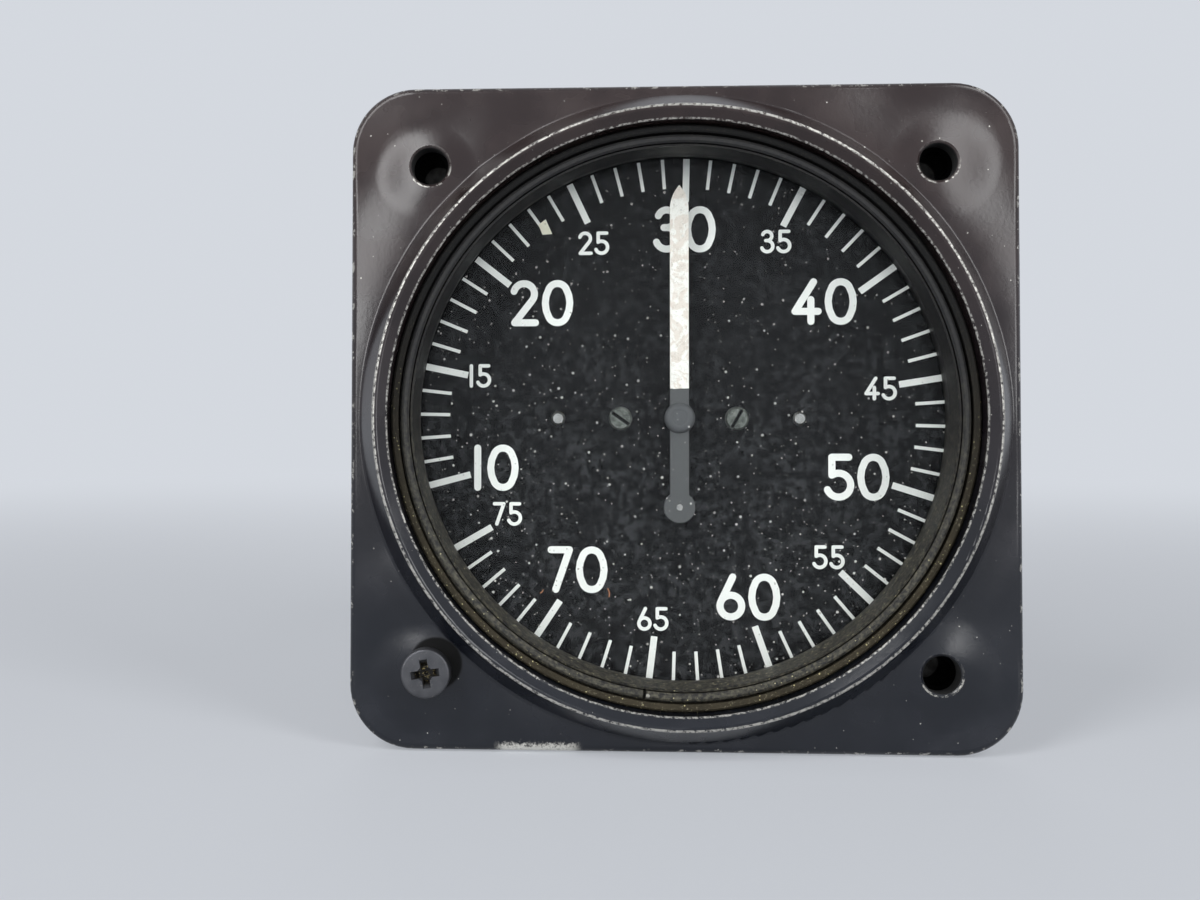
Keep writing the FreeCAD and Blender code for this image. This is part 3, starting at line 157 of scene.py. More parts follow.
# Each numeral with its radius in millimetres and how far it stands ahead of its tick in degrees
BIG_NUMERALS = [(10, 24.8, 0.0), (20, 23.6, 1.7), (30, 24.7, -0.2), (40, 23.9, -3.9), (50, 23.7, 0.9),
                (60, 24.5, -1.1), (70, 23.7, 0.8)]
SMALL_NUMERALS = [(15, 26.7, 0.5), (25, 25.6, -1.0), (35, 26.1, 0.2), (45, 25.9, 0.3), (55, 25.9, -0.7),
                  (65, 26.1, 1.0), (75, 25.7, 1.1)]

# Screw in the lower left hole; the cross keeps these shares of its length and width at its bottom
PANEL_HEAD_H = 2.0 * MM
PANEL_HEAD_ROUND = 0.35 * MM
PANEL_ROUND_STEPS = 5
PANEL_SHANK_R = 1.75 * MM
CROSS_SPAN = 5.2 * MM
CROSS_W = 1.12 * MM
CROSS_DEPTH = 1.3 * MM
CROSS_BOTTOM_SPAN = 0.35
CROSS_BOTTOM_W = 0.7
CROSS_TURN = -8.5
CROSS_POINT_R = 0.85 * MM
CROSS_POINT_DEPTH = 1.7 * MM
CROSS_POINT_STEPS = 24

# Inlet; the hexagon's chamfer is in shares of its corner radius, the thread's ridge in shares of its pitch
INLET_X = 14.0 * MM
HEX_AF = 14.3 * MM
HEX_T = 5.0 * MM
HEX_FLAT_SHARE = 0.86
HEX_CHAMFER_SHARE = 0.25
HEX_CUTTER_SHARE = 1.05
SHANK_R = 4.2 * MM
THREAD_R = 5.14 * MM
THREAD_L = 11.0 * MM
THREAD_DEPTH = 0.6 * MM
THREAD_PITCH = 0.94 * MM
THREAD_SUNK = 0.1 * MM
THREAD_ROOT_HALF = 0.46
THREAD_CREST_HALF = 0.06
THREAD_START = 0.9 * MM
THREAD_STOP = 0.6 * MM
THREAD_STEPS = 48
INLET_BORE_R = 1.6 * MM

# Fallen on the dial: places from the middle of the print
FLAKE_PLACE = (-17.7 * MM, 25.0 * MM)
FLAKE_CORNERS = [(-0.82 * MM, 0.42 * MM), (-0.30 * MM, -0.88 * MM), (0.98 * MM, -0.80 * MM),
                 (0.12 * MM, 1.14 * MM)]
LINT_W = 0.13 * MM
LINT_FIBRES = [((-18.2 * MM, -22.6 * MM), 20, 0.5 * MM, 60), ((-9.3 * MM, -23.0 * MM), 75, 1.2 * MM, 50)]

# Colours that more than one finish uses
# Black of painted shade and painted shadow
SHADE_BLACK = (0.002, 0.002, 0.002)
DARK_BRASS = (0.48, 0.35, 0.16)
BRIGHT_BRASS = (0.72, 0.56, 0.29)


def new_object(name, bm, materials):
    """A mesh object from a bmesh, at the origin."""
    mesh = bpy.data.meshes.new(name)
    bm.to_mesh(mesh)
    bm.free()
    for material in materials:
        mesh.materials.append(material)
    obj = bpy.data.objects.new(name, mesh)
    bpy.context.scene.collection.objects.link(obj)
    return obj


def smooth(obj, degrees=35):
    """Smooth shading with sharp edges kept past an angle."""
    for face in obj.data.polygons:
        face.use_smooth = True
    obj.data.set_sharp_from_angle(angle=math.radians(degrees))


class Shader:
    """One material and short calls that add its nodes."""

    def __init__(self, name):
        self.material = bpy.data.materials.new(name)
        self.material.use_nodes = True
        self.tree = self.material.node_tree
        self.principled = self.tree.nodes["Principled BSDF"]
        self.output = self.tree.nodes["Material Output"]
        source = self.tree.nodes.new("ShaderNodeTexCoord")
        self.coords = source.outputs["Object"]
        self.normal = source.outputs["Normal"]
        axes = self.tree.nodes.new("ShaderNodeSeparateXYZ")
        self.link(self.coords, axes.inputs[0])
        self.x, self.y, self.z = axes.outputs

    def link(self, source, target):
        self.tree.links.new(source, target)

    def put(self, value, socket):
        """A value into a socket: an output is linked, a number set, and a colour set with full alpha."""
        if hasattr(value, "is_output"):
            self.link(value, socket)
        elif isinstance(value, tuple):
            socket.default_value = (*value, 1.0)
        else:
            socket.default_value = value

    def math(self, operation, a, b=0.0, c=0.0):
        node = self.tree.nodes.new("ShaderNodeMath")
        node.operation = operation
        for value, socket in zip((a, b, c), node.inputs):
            self.put(value, socket)
        return node.outputs[0]

    def chain(self, operation, values):
        """One operation over all the values, two at a time."""
        total = values[0]
        for value in values[1:]:
            total = self.math(operation, total, value)
        return total

    def product(self, *values):
        return self.chain("MULTIPLY", values)

    def largest(self, *values):
        return self.chain("MAXIMUM", values)

    def band(self, value, low, high, out_low=0.0, out_high=1.0):
        """The value mapped smoothly from low..high to out_low..out_high."""
        node = self.tree.nodes.new("ShaderNodeMapRange")
        node.interpolation_type = "SMOOTHSTEP"
        for number, socket in zip((value, low, high, out_low, out_high), node.inputs):
            self.put(number, socket)
        return node.outputs[0]

    def near(self, value, centre, half, soft):
        """1 where the value lies within half of centre, and 0 past half + soft."""
        away = self.math("ABSOLUTE", self.math("SUBTRACT", value, centre))
        return self.band(away, half, half + soft, 1.0, 0.0)

    def noise(self, size, detail=3.0, roughness=0.55, distortion=0.0, stretch=None):
        """Noise whose features measure about size."""
        node = self.tree.nodes.new("ShaderNodeTexNoise")
        node.inputs["Scale"].default_value = 1.0 / size
        node.inputs["Detail"].default_value = detail
        node.inputs["Roughness"].default_value = roughness
        node.inputs["Distortion"].default_value = distortion
        self.link(self.stretched(stretch), node.inputs["Vector"])
        return node.outputs["Fac"]

    def stretched(self, stretch):
        """The coordinates, multiplied by a factor for each axis where one is given."""
        if stretch is None:
            return self.coords
        mapping = self.tree.nodes.new("ShaderNodeMapping")
        mapping.inputs["Scale"].default_value = stretch
        self.link(self.coords, mapping.inputs["Vector"])
        return mapping.outputs[0]

    def facing(self):
        """1 on what looks to the front or rear, and 0 on walls along Y."""
        split = self.tree.nodes.new("ShaderNodeSeparateXYZ")
        self.link(self.normal, split.inputs[0])
        return self.band(self.math("ABSOLUTE", split.outputs[1]), 0.4, 0.6)

    def specks(self, pitch, share, radius):
        """Specks on what faces the front or rear, up to a radius, in a share of the cells of a pitch."""
        flat = self.tree.nodes.new("ShaderNodeCombineXYZ")
        self.link(self.x, flat.inputs[0])
        self.link(self.z, flat.inputs[1])
        node = self.tree.nodes.new("ShaderNodeTexVoronoi")
        node.voronoi_dimensions = "2D"
        node.inputs["Scale"].default_value = 1.0 / pitch
        self.link(flat.outputs[0], node.inputs["Vector"])
        # Blue says which cells hold a speck, because red and green follow the place of the cell's point.
        split = self.tree.nodes.new("ShaderNodeSeparateColor")
        self.link(node.outputs["Color"], split.inputs[0])
        blue = split.outputs[2]
        chosen = self.math("LESS_THAN", blue, share)
        size = self.product(blue, radius / pitch / share)
        ragged = self.product(self.noise(radius, 1), radius / pitch / 2)
        spot = self.math("LESS_THAN", self.math("ADD", node.outputs["Distance"], ragged), size)
        return self.product(spot, chosen, self.facing())

    def mix(self, factor, a, b):
        """Colour a where the factor is 0, and b where it is 1."""
        node = self.tree.nodes.new("ShaderNodeMix")
        node.data_type = "RGBA"
        self.put(factor, node.inputs["Factor"])
        for value, socket in ((a, node.inputs[6]), (b, node.inputs[7])):
            self.put(value, socket)
        return node.outputs[2]

    def blend(self, factor, a, b):
        """Number a where the factor is 0, and b where it is 1."""
        node = self.tree.nodes.new("ShaderNodeMix")
        self.put(factor, node.inputs["Factor"])
        self.put(a, node.inputs["A"])
        self.put(b, node.inputs["B"])
        return node.outputs[0]

    def radius(self, x0=0.0, z0=0.0):
        """The distance from an axis along Y."""
        dx = self.math("SUBTRACT", self.x, x0)
        dz = self.math("SUBTRACT", self.z, z0)
        return self.math("SQRT", self.math("ADD", self.product(dx, dx), self.product(dz, dz)))

    def bump(self, height, metres, normal=None):
        node = self.tree.nodes.new("ShaderNodeBump")
        node.inputs["Distance"].default_value = metres
        node.inputs["Strength"].default_value = 1.0
        self.link(height, node.inputs["Height"])
        if normal is not None:
            self.link(normal, node.inputs["Normal"])
        return node.outputs[0]

    def finish(self, colour, roughness, metallic=0.0, normal=None, specular=0.5):
        inputs = self.principled.inputs
        self.put(colour, inputs["Base Color"])
        self.put(roughness, inputs["Roughness"])
        self.put(metallic, inputs["Metallic"])
        inputs["Specular IOR Level"].default_value = specular
        if normal is not None:
            self.link(normal, inputs["Normal"])
        return self.material


def rounded_square_distance(s, half, corner_r):
    """How far a point lies outside the square with round corners, below 0 inside."""
    over = []
    for axis in (s.x, s.z):
        past = s.math("SUBTRACT", s.math("ABSOLUTE", axis), half - corner_r)
        over.append(s.math("MAXIMUM", past, 0.0))
    squares = [s.product(v, v) for v in over]
    return s.math("SUBTRACT", s.math("SQRT", s.math("ADD", *squares)), corner_r)


def wear_and_painted_highlight(s, front, nicks, fine_nicks):
    """Where the paint is worn through: the ring's crest and lip, the flange's rim and the holes' rims. The bright
    lines on the crest, the lip and the holes' rims are partly wear and partly painted highlight, on the holes'
    rims weighted to each hole's lower side.
    """
    r = s.radius()
    # Crest and lip: worn metal lines, wide enough to be partly painted highlight
    crest_near = s.band(s.y, CREST_Y + 0.40 * MM, CREST_Y + 0.25 * MM)
    crest = s.product(s.near(r, CREST_R, 0.10 * MM, 0.16 * MM), crest_near, s.band(fine_nicks, 0.38, 0.56))
    lip_near = s.near(s.y, LIP_Y, 0.15 * MM, 0.2 * MM)
    lip = s.product(s.near(r, LIP_R, 0.10 * MM, 0.14 * MM), lip_near, s.band(fine_nicks, 0.42, 0.60))
    out = rounded_square_distance(s, FLANGE_HALF, FLANGE_CORNER_R)
    rim_near = s.band(s.y, FACE_Y + 1.0 * MM, FACE_Y + 0.5 * MM)
    rim = s.product(s.band(out, -0.55 * MM, -0.15 * MM), rim_near, s.band(nicks, 0.56, 0.62))
    holes = []
    for hole_x, hole_z in HOLES:
        line = s.near(s.radius(hole_x, hole_z), HOLE_RIM_R, 0.06 * MM, 0.12 * MM)
        # Weighted to each hole's lower side as a painted highlight
        holes.append(s.product(line, s.band(s.z, hole_z + 0.5 * MM, hole_z - 1.2 * MM, 0.10, 1.0)))
    hole_wear_and_highlight = s.product(s.largest(*holes), front, s.band(nicks, 0.46, 0.58))
    return s.largest(rim, crest, lip, hole_wear_and_highlight)


def paint_relief(s, waves):
    """The flange falls away from the ring towards its corners, and from each hole."""
    height = s.product(waves, s.band(s.y, FACE_Y + 1.0 * MM, FACE_Y + 5.0 * MM, 1.3, 0.2))
    wander = s.product(waves, 5.0 * MM)
    corner_fall = s.band(s.math("ADD", s.radius(), wander), FALL_START_R, FALL_END_R, 0.95, 0.0)
    height = s.math("ADD", height, corner_fall)
    for hole in HOLES:
        away = s.math("ADD", s.radius(*hole), wander)
        height = s.math("ADD", height, s.band(away, PAD_R, PAD_END_R, 0.50, 0.0))
    return height


def case_paint():
    """Satin black paint on cast aluminium: soft waves, raised pads round the holes, edges worn to metal and partly
    brightened as painted highlight. Painted light makes the paint warmer and lighter towards the top and darker
    and bluer towards the bottom; painted shade blackens the bores, and a painted shadow lies beside the panel
    screw's head.
    """
    s = Shader("case_paint")
    grain = s.noise(0.35 * MM, 4)
    patch = s.noise(9 * MM, 3)
    nicks = s.noise(1.1 * MM, 5, 0.7)
    fine_nicks = s.noise(0.45 * MM, 4, 0.7)
    front = s.band(s.y, FACE_Y + 0.3 * MM, FACE_Y + 0.1 * MM)

    ragged = s.math("ADD", s.z, s.product(fine_nicks, 2.6 * MM))
    chip_z = s.band(ragged, -FLANGE_HALF + CHIP_H + 1.0 * MM, -FLANGE_HALF + CHIP_H)
    chip = s.product(s.near(s.x, CHIP_X, CHIP_HALF, 2.0 * MM), chip_z, s.band(grain, 0.30, 0.42))
    chip = s.product(chip, s.band(s.y, 0.2 * MM, -0.2 * MM))
    dots = s.largest(s.specks(2.6 * MM, 0.25, 0.16 * MM), s.specks(1.3 * MM, 0.10, 0.10 * MM))
    dots = s.product(dots, front, s.band(patch, 0.40, 0.55))
    # Bare metal from wear, the chip and specks; the worn lines partly stand as painted highlight
    bare_and_highlight = s.largest(wear_and_painted_highlight(s, front, nicks, fine_nicks), chip, dots)
    # Painted shade: the holes' bores in deep black, fully rough
    bore_shade = s.largest(*[s.band(s.radius(*hole), HOLE_R + 0.12 * MM, HOLE_R + 0.02 * MM) for hole in HOLES])
    # Painted shadow: a deep black, fully rough disc beside the panel screw's head
    screw_shadow = s.band(s.radius(*SCREW_SHADOW), SCREW_SHADOW_R, SCREW_SHADOW_R - 0.5 * MM)
    # Painted shade and painted shadow together, put in deep black below
    black = s.largest(bore_shade, s.product(screw_shadow, front))

    # Painted light and shade: warmer and lighter towards the top, darker and bluer towards the bottom, a painted
    # reflection
    high = s.band(s.z, -30 * MM, 35 * MM)
    cloud = s.band(patch, 0.35, 0.7)
    painted_shade_below = s.mix(cloud, (0.005, 0.0065, 0.0105), (0.009, 0.0105, 0.0155))
    painted_light_above = s.mix(cloud, (0.017, 0.0100, 0.0098), (0.028, 0.0180, 0.0170))
    metal_tone = s.mix(grain, (0.36, 0.35, 0.32), (0.56, 0.55, 0.51))
    colour = s.mix(bare_and_highlight, s.mix(high, painted_shade_below, painted_light_above), metal_tone)
    colour = s.mix(s.product(chip, 0.75), colour, (0.72, 0.71, 0.66))
    colour = s.mix(black, colour, SHADE_BLACK)
    roughness = s.blend(bare_and_highlight, s.band(patch, 0.3, 0.7, 0.21, 0.30), 0.38)
    roughness = s.blend(black, roughness, 1.0)
    normal = s.bump(paint_relief(s, s.noise(15 * MM, 0, 0.4, 0.3)), 1.4 * MM)
    normal = s.bump(s.noise(0.7 * MM, 2), 0.010 * MM, normal)
    normal = s.bump(grain, 0.004 * MM, normal)
    return s.finish(colour, roughness, s.product(bare_and_highlight, 0.6), normal)


def ring_lacquer():
    """Black lacquer on the inner rings, dusty in the corners and rubbed bright on the crown, whose bright edge is
    partly painted highlight, weighted towards the bottom.
    """
    s = Shader("ring_lacquer")
    grit = s.noise(0.5 * MM, 5, 0.7)
    cloud = s.noise(4 * MM, 3)
    low = s.band(s.z, 12 * MM, -26 * MM, 0.08, 0.85)
    dust = s.product(s.band(grit, 0.36, 0.70), low)
    colour = s.mix(cloud, (0.010, 0.0105, 0.012), (0.020, 0.020, 0.021))
    colour = s.mix(dust, colour, (0.125, 0.118, 0.088))
    # The crown's bright edge: worn metal that also stands as a painted highlight, more towards the bottom
    crown = s.near(s.radius(), CROWN_R, 0.12 * MM, 0.15 * MM)
    crown = s.product(crown, s.band(s.y, CROWN_BACK_Y, CROWN_FRONT_Y))
    burr = s.band(s.radius(*SPLIT_BURR), BURR_R, BURR_R - 0.14 * MM)
    worn = s.largest(s.product(crown, s.band(grit, 0.38, 0.6), low), burr)
    colour = s.mix(worn, colour, (0.40, 0.39, 0.35))
    crumbs = s.blend(s.facing(), s.band(grit, 0.62, 0.68), s.specks(0.6 * MM, 0.35, 0.12 * MM))
    crumbs = s.product(crumbs, s.band(low, 0.3, 0.85))
    colour = s.mix(crumbs, colour, (0.42, 0.39, 0.24))
    roughness = s.band(cloud, 0.3, 0.7, 0.40, 0.55)
    return s.finish(colour, roughness, s.product(worn, 0.8), s.bump(grit, 0.02 * MM), specular=0.25)


def packing():
    """The sealing ring, olive-brown and dirty."""
    s = Shader("packing_cork")
    grit = s.noise(0.35 * MM, 5, 0.75)
    low = s.band(s.z, 18 * MM, -24 * MM)
    brown = s.mix(s.noise(2.2 * MM, 3), (0.012, 0.0105, 0.007), (0.055, 0.045, 0.026))
    colour = s.mix(low, (0.009, 0.009, 0.009), brown)
    crumbs = s.product(s.band(grit, 0.57, 0.66), s.band(low, 0.2, 1.0, 0.1, 0.9))
    colour = s.mix(crumbs, colour, (0.22, 0.20, 0.14))
    yellow = s.product(s.specks(0.55 * MM, 0.35, 0.13 * MM), low)
    colour = s.mix(yellow, colour, (0.45, 0.41, 0.22))
    return s.finish(colour, 0.75, 0.0, s.bump(grit, 0.12 * MM), specular=0.3)


def screw_black():
    """Black oxide, rubbed on the edges, with brassy grime in the recesses and painted shade that darkens them."""
    s = Shader("black_screw")
    grain = s.noise(0.25 * MM, 4, 0.6)
    patch = s.noise(1.3 * MM, 3)
    colour = s.mix(patch, (0.050, 0.051, 0.058), (0.095, 0.097, 0.104))
    colour = s.mix(s.band(grain, 0.62, 0.72), colour, (0.17, 0.165, 0.15))
    below = s.band(s.y, SCREW_TOP_Y + 0.35 * MM, SCREW_TOP_Y + 0.9 * MM)
    above = s.band(s.y, SCREW_TOP_Y + 2.0 * MM, SCREW_TOP_Y + 1.5 * MM)
    recess = s.product(below, above, s.band(s.radius(*HOLES[0]), 2.1 * MM, 1.9 * MM))
    dirt_and_shade = s.product(recess, s.band(grain, 0.54, 0.66))
    # Painted shade: the recess darkened to near black
    colour = s.mix(recess, colour, (0.012, 0.011, 0.010))
    colour = s.mix(dirt_and_shade, colour, (0.36, 0.29, 0.13))
    return s.finish(colour, s.band(patch, 0.3, 0.7, 0.36, 0.5), 0.7, s.bump(grain, 0.008 * MM))


def dial_screw_metal():
    """Greyish plated steel of the two small screws on the dial, with painted shade that darkens their slots."""
    s = Shader("dial_screw_steel")
    grain = s.noise(0.2 * MM, 4, 0.6)
    patch = s.noise(0.9 * MM, 3)
    colour = s.mix(s.band(patch, 0.35, 0.65), (0.085, 0.092, 0.084), (0.18, 0.19, 0.175))
    colour = s.mix(s.band(grain, 0.60, 0.70), colour, (0.30, 0.31, 0.28))
    sunk = s.band(s.y, DIAL_SCREW_TOP_Y + 0.12 * MM, DIAL_SCREW_TOP_Y + 0.25 * MM)
    # Painted shade: each slot darkened to near black
    for side in (-1, 1):
        slot = s.product(sunk, s.band(s.radius(side * DIAL_SCREW_X), DIAL_SLOT_R, DIAL_SLOT_R - 0.15 * MM))
        colour = s.mix(slot, colour, (0.006, 0.006, 0.006))
    return s.finish(colour, 0.45, 0.7, s.bump(grain, 0.01 * MM))


def turning_streaks(s):
    """Fine marks of turning, close together along Y."""
    return s.noise(0.12 * MM, 3, 0.5, 0.0, (1.0, 6.0, 1.0))


def metal(name, dark, light, roughness, tarnish_size, shade_r=0.0):
    """Turned metal with fine streaks and a little tarnish, and painted shade: black within a radius of the main
    axis.
    """
    s = Shader(name)
    streak = turning_streaks(s)
    colour = s.mix(s.band(s.noise(tarnish_size, 4), 0.35, 0.65), dark, light)
    # Painted shade: black round the main axis
    if shade_r > 0:
        colour = s.mix(s.band(s.radius(), shade_r + 0.3 * MM, shade_r), colour, (0.004, 0.004, 0.004))
    rough = s.band(streak, 0.3, 0.7, roughness - 0.06, roughness + 0.08)
    return s.finish(colour, rough, 1.0, s.bump(streak, 0.004 * MM))


def nut_steel():
    """Dark oxide on the nuts, with painted shade: the bore and the front face seen through each hole are black."""
    s = Shader("plated_steel")
    streak = turning_streaks(s)
    colour = s.mix(s.band(s.noise(1.5 * MM, 4), 0.35, 0.65), (0.07, 0.066, 0.06), (0.16, 0.155, 0.145))
    face = s.band(s.y, NUT_FACE_Y + 0.6 * MM, NUT_FACE_Y)
    before_end = s.band(s.y, NUT_END_Y, NUT_END_Y - 0.2 * MM)
    for hole in HOLES:
        away = s.radius(*hole)
        bore = s.band(away, HOLE_R + 0.12 * MM, HOLE_R)
        barrel = s.band(away, NUT_R, NUT_R - 0.1 * MM)
        # Painted shade: black in each nut's bore and on its front face
        dirt_and_shade = s.product(s.largest(bore, face), barrel, before_end)
        colour = s.mix(dirt_and_shade, colour, SHADE_BLACK)
    return s.finish(colour, s.band(streak, 0.3, 0.7, 0.46, 0.60), 1.0, s.bump(streak, 0.004 * MM))


def grained(name, dark, light, roughness, grain_size, detail=3, bump=0.004 * MM, specular=0.5):
    """A plain finish of two near tones with a fine grain."""
    s = Shader(name)
    grain = s.noise(grain_size, detail)
    return s.finish(s.mix(grain, dark, light), roughness, 0.0, s.bump(grain, bump), specular)


def dial_black():
    """Matte black, clouded by dust that has settled towards the lower half."""
    s = Shader("dial_black")
    grit = s.noise(1.1 * MM, 3, 0.65)
    low = s.band(s.z, 20 * MM, -20 * MM, 0.45, 1.0)
    cloud = s.band(s.noise(5 * MM, 2, 0.6), 0.30, 0.65, 0.3, 1.0)
    haze = s.product(cloud, s.band(grit, 0.42, 0.62), low)
    dots = s.largest(s.specks(1.1 * MM, 0.45, 0.16 * MM), s.specks(0.6 * MM, 0.50, 0.10 * MM))
    colour = s.mix(haze, (0.001, 0.001, 0.0013), (0.032, 0.033, 0.036))
    colour = s.mix(s.product(dots, low, 0.25), colour, (0.35, 0.35, 0.34))
    return s.finish(colour, 0.6, 0.0, s.bump(grit, 0.004 * MM), specular=0.1)


def pointer_paint():
    """Cream paint on the blade above its root, with cracks and patches, and dark grey below."""
    s = Shader("pointer_paint")
    grain = s.noise(0.4 * MM, 4)
    patch = s.noise(2.6 * MM, 4, 0.6, 1.2)
    cracks = s.near(s.noise(3.0 * MM, 5, 0.7, 2.0), 0.5, 0.003, 0.006)
    white = s.mix(s.band(patch, 0.46, 0.54), (0.86, 0.84, 0.80), (0.74, 0.67, 0.61))
    white = s.mix(s.product(cracks, 0.6), white, (0.34, 0.29, 0.23))
    grey = s.mix(grain, (0.055, 0.057, 0.060), (0.080, 0.082, 0.085))
    ragged = s.math("ADD", s.z, s.product(s.noise(0.9 * MM, 2), 0.45 * MM))
    painted = s.band(ragged, PAINT_END_Z - 0.04 * MM, PAINT_END_Z + 0.04 * MM)
    colour = s.mix(painted, grey, white)
    return s.finish(colour, s.blend(painted, 0.45, 0.55), 0.0, s.bump(grain, 0.01 * MM))


def lint():
    """Rust-brown fibres that have fallen on the dial."""
    s = Shader("lint")
    colour = s.mix(s.noise(0.3 * MM, 2), (0.30, 0.12, 0.06), (0.52, 0.26, 0.14))
    return s.finish(colour, 0.8, specular=0.2)


def window_glass():
    """Thin clear glass: it lets light through, mirrors a little, and carries dust."""
    s = Shader("window_glass")
    clear = s.tree.nodes.new("ShaderNodeBsdfTransparent")
    s.put((0.97, 0.98, 0.975), clear.inputs["Color"])
    gloss = s.tree.nodes.new("ShaderNodeBsdfGlossy")
    gloss.inputs["Roughness"].default_value = 0.02
    facing = s.tree.nodes.new("ShaderNodeLayerWeight").outputs["Facing"]
    mirrored = s.math("MULTIPLY_ADD", s.math("POWER", facing, 5.0), 0.9, 0.012)
    pane = mix_shaders(s, mirrored, clear.outputs[0], gloss.outputs[0])
    low = s.band(s.z, 25 * MM, -15 * MM, 0.35, 1.0)
    cluster = s.band(s.noise(6 * MM, 2), 0.25, 0.55)
    faint = s.product(s.specks(0.9 * MM, 0.60, 0.16 * MM), 0.45)
    dots = s.largest(s.specks(1.6 * MM, 0.42, 0.23 * MM), faint)
    front = s.near(s.y, GLASS_FACE_Y, 0.1 * MM, 0.1 * MM)
    dust = s.tree.nodes.new("ShaderNodeBsdfDiffuse")
    s.put((0.55, 0.55, 0.52), dust.inputs["Color"])
    dusty = s.product(dots, front, low, cluster, 0.8)
    s.link(mix_shaders(s, dusty, pane, dust.outputs[0]), s.output.inputs["Surface"])
    s.tree.nodes.remove(s.principled)
    return s.material


def mix_shaders(s, factor, a, b):
    """Surface a where the factor is 0, and b where it is 1."""
    node = s.tree.nodes.new("ShaderNodeMixShader")
    for value, socket in zip((factor, a, b), node.inputs):
        s.link(value, socket)
    return node.outputs[0]


MATERIALS = {
    "case_paint": case_paint(),
    "plated_steel": nut_steel(),
    "black_screw": screw_black(),
    "window_glass": window_glass(),
    "black_rubber": grained("black_rubber", (0.016, 0.016, 0.016), (0.035, 0.034, 0.033), 0.7, 0.3 * MM,
                            bump=0.02 * MM, specular=0.3),
    "ring_lacquer": ring_lacquer(),
    "packing_cork": packing(),
    "dial_black": dial_black(),
    "bright_steel": metal("bright_steel", (0.45, 0.44, 0.42), (0.66, 0.65, 0.63), 0.3, 2 * MM),
    "brass": metal("brass", DARK_BRASS, BRIGHT_BRASS, 0.3, 2.5 * MM),
    "bronze": metal("bronze", (0.42, 0.26, 0.13), (0.63, 0.43, 0.24), 0.33, 2.5 * MM),
    "pointer_paint": pointer_paint(),
    "pointer_grey": grained("pointer_grey", (0.062, 0.064, 0.070), (0.092, 0.095, 0.100), 0.5, 0.3 * MM, 4,
                            0.01 * MM, 0.3),
}
WHITE = grained("dial_white", (0.82, 0.83, 0.81), (0.90, 0.90, 0.88), 0.5, 0.4 * MM, specular=0.4)
CREAM = grained("flake_cream", (0.84, 0.80, 0.62), (0.90, 0.88, 0.76), 0.5, 0.5 * MM, bump=0.02 * MM)
LINT = lint()
# Brass with painted shade round the main axis, for the movement's front plate and the staff bushes
SHADED_PLATE_BRASS = metal("shaded_plate_brass", DARK_BRASS, BRIGHT_BRASS, 0.3, 2.5 * MM, AXIS_SHADE_R)

# Nodes whose finish differs from that of their slot
OWN_FINISH = {
    "dial_screws": dial_screw_metal(),
    "pointer_hub": MATERIALS["pointer_grey"],
    "movement_front_plate": SHADED_PLATE_BRASS,
    "staff_bushes": SHADED_PLATE_BRASS,
}


def dress_nodes():
    """Every CAD node takes the material of its slot."""
    for row in frame["record"]["subparts"]:
        obj = frame["nodes"][row["node"]]
        for slot in obj.material_slots:
            slot.material = OWN_FINISH.get(row["node"], MATERIALS[row["material_slot"]])


def oval(width, height, end_r):
    """The moves of a closed oval from its right side: two side arcs and two end arcs."""
    half_w = width / 2
    half_h = height / 2
    side_r = (half_w ** 2 + (half_h - end_r) ** 2 - end_r ** 2) / (2 * (half_w - end_r))
    side = math.degrees(math.atan2(half_h - end_r, side_r - half_w))
    end = 180 - 2 * side
    return [(side_r, side), (end_r, end), (side_r, 2 * side), (end_r, end), (side_r, side)]


# The numerals as pen strokes on a height of 1: start, heading in degrees, and moves.
# A move is a length to draw straight, or a radius and the angle to turn to the left.
DIGITS = {
    0: (0.626, [((0.626, 0.5), 90, oval(0.626, 1.0, 0.245))]),
    1: (0.0, [((0.0, 0.0), 90, [1.0])]),
    2: (0.56, [
        ((0.014, 0.804), 75, [(0.265, -203), 0.726]),
        ((0.032, 0.0), 0, [0.53]),
    ]),
    3: (0.535, [
        ((0.049, 0.852), 70, [(0.225, -250)]),
        ((0.26, 0.55), 0, [(0.275, -250)]),
        ((0.19, 0.55), 0, [0.07]),
    ]),
    4: (0.578, [
        ((0.466, 1.0), -122, [0.88]),
        ((0.0, 0.254), 0, [0.578]),
        ((0.396, 0.552), -90, [0.552]),
    ]),
    5: (0.575, [
        ((0.11, 1.0), 0, [0.42]),
        ((0.11, 1.0), -90, [0.45]),
        ((0.11, 0.55), 33.4, [(0.30, -281)]),
    ]),
    6: (0.544, [
        ((0.544, 0.272), 90, [(0.272, 360)]),
        ((0.027, 0.39), 64.3, [0.677]),
    ]),
    7: (0.464, [
        ((0.0, 1.0), 0, [0.464]),
        ((0.464, 1.0), -109, [1.0575]),
    ]),
}
DIGIT_GAP = 0.25
GAP_AFTER_ONE = 0.33
ARC_STEP = 15
CAP_STEPS = 6


def verts_in(geom):
    """The vertices in what a mesh operator returns."""
    return [g for g in geom if isinstance(g, bmesh.types.BMVert)]


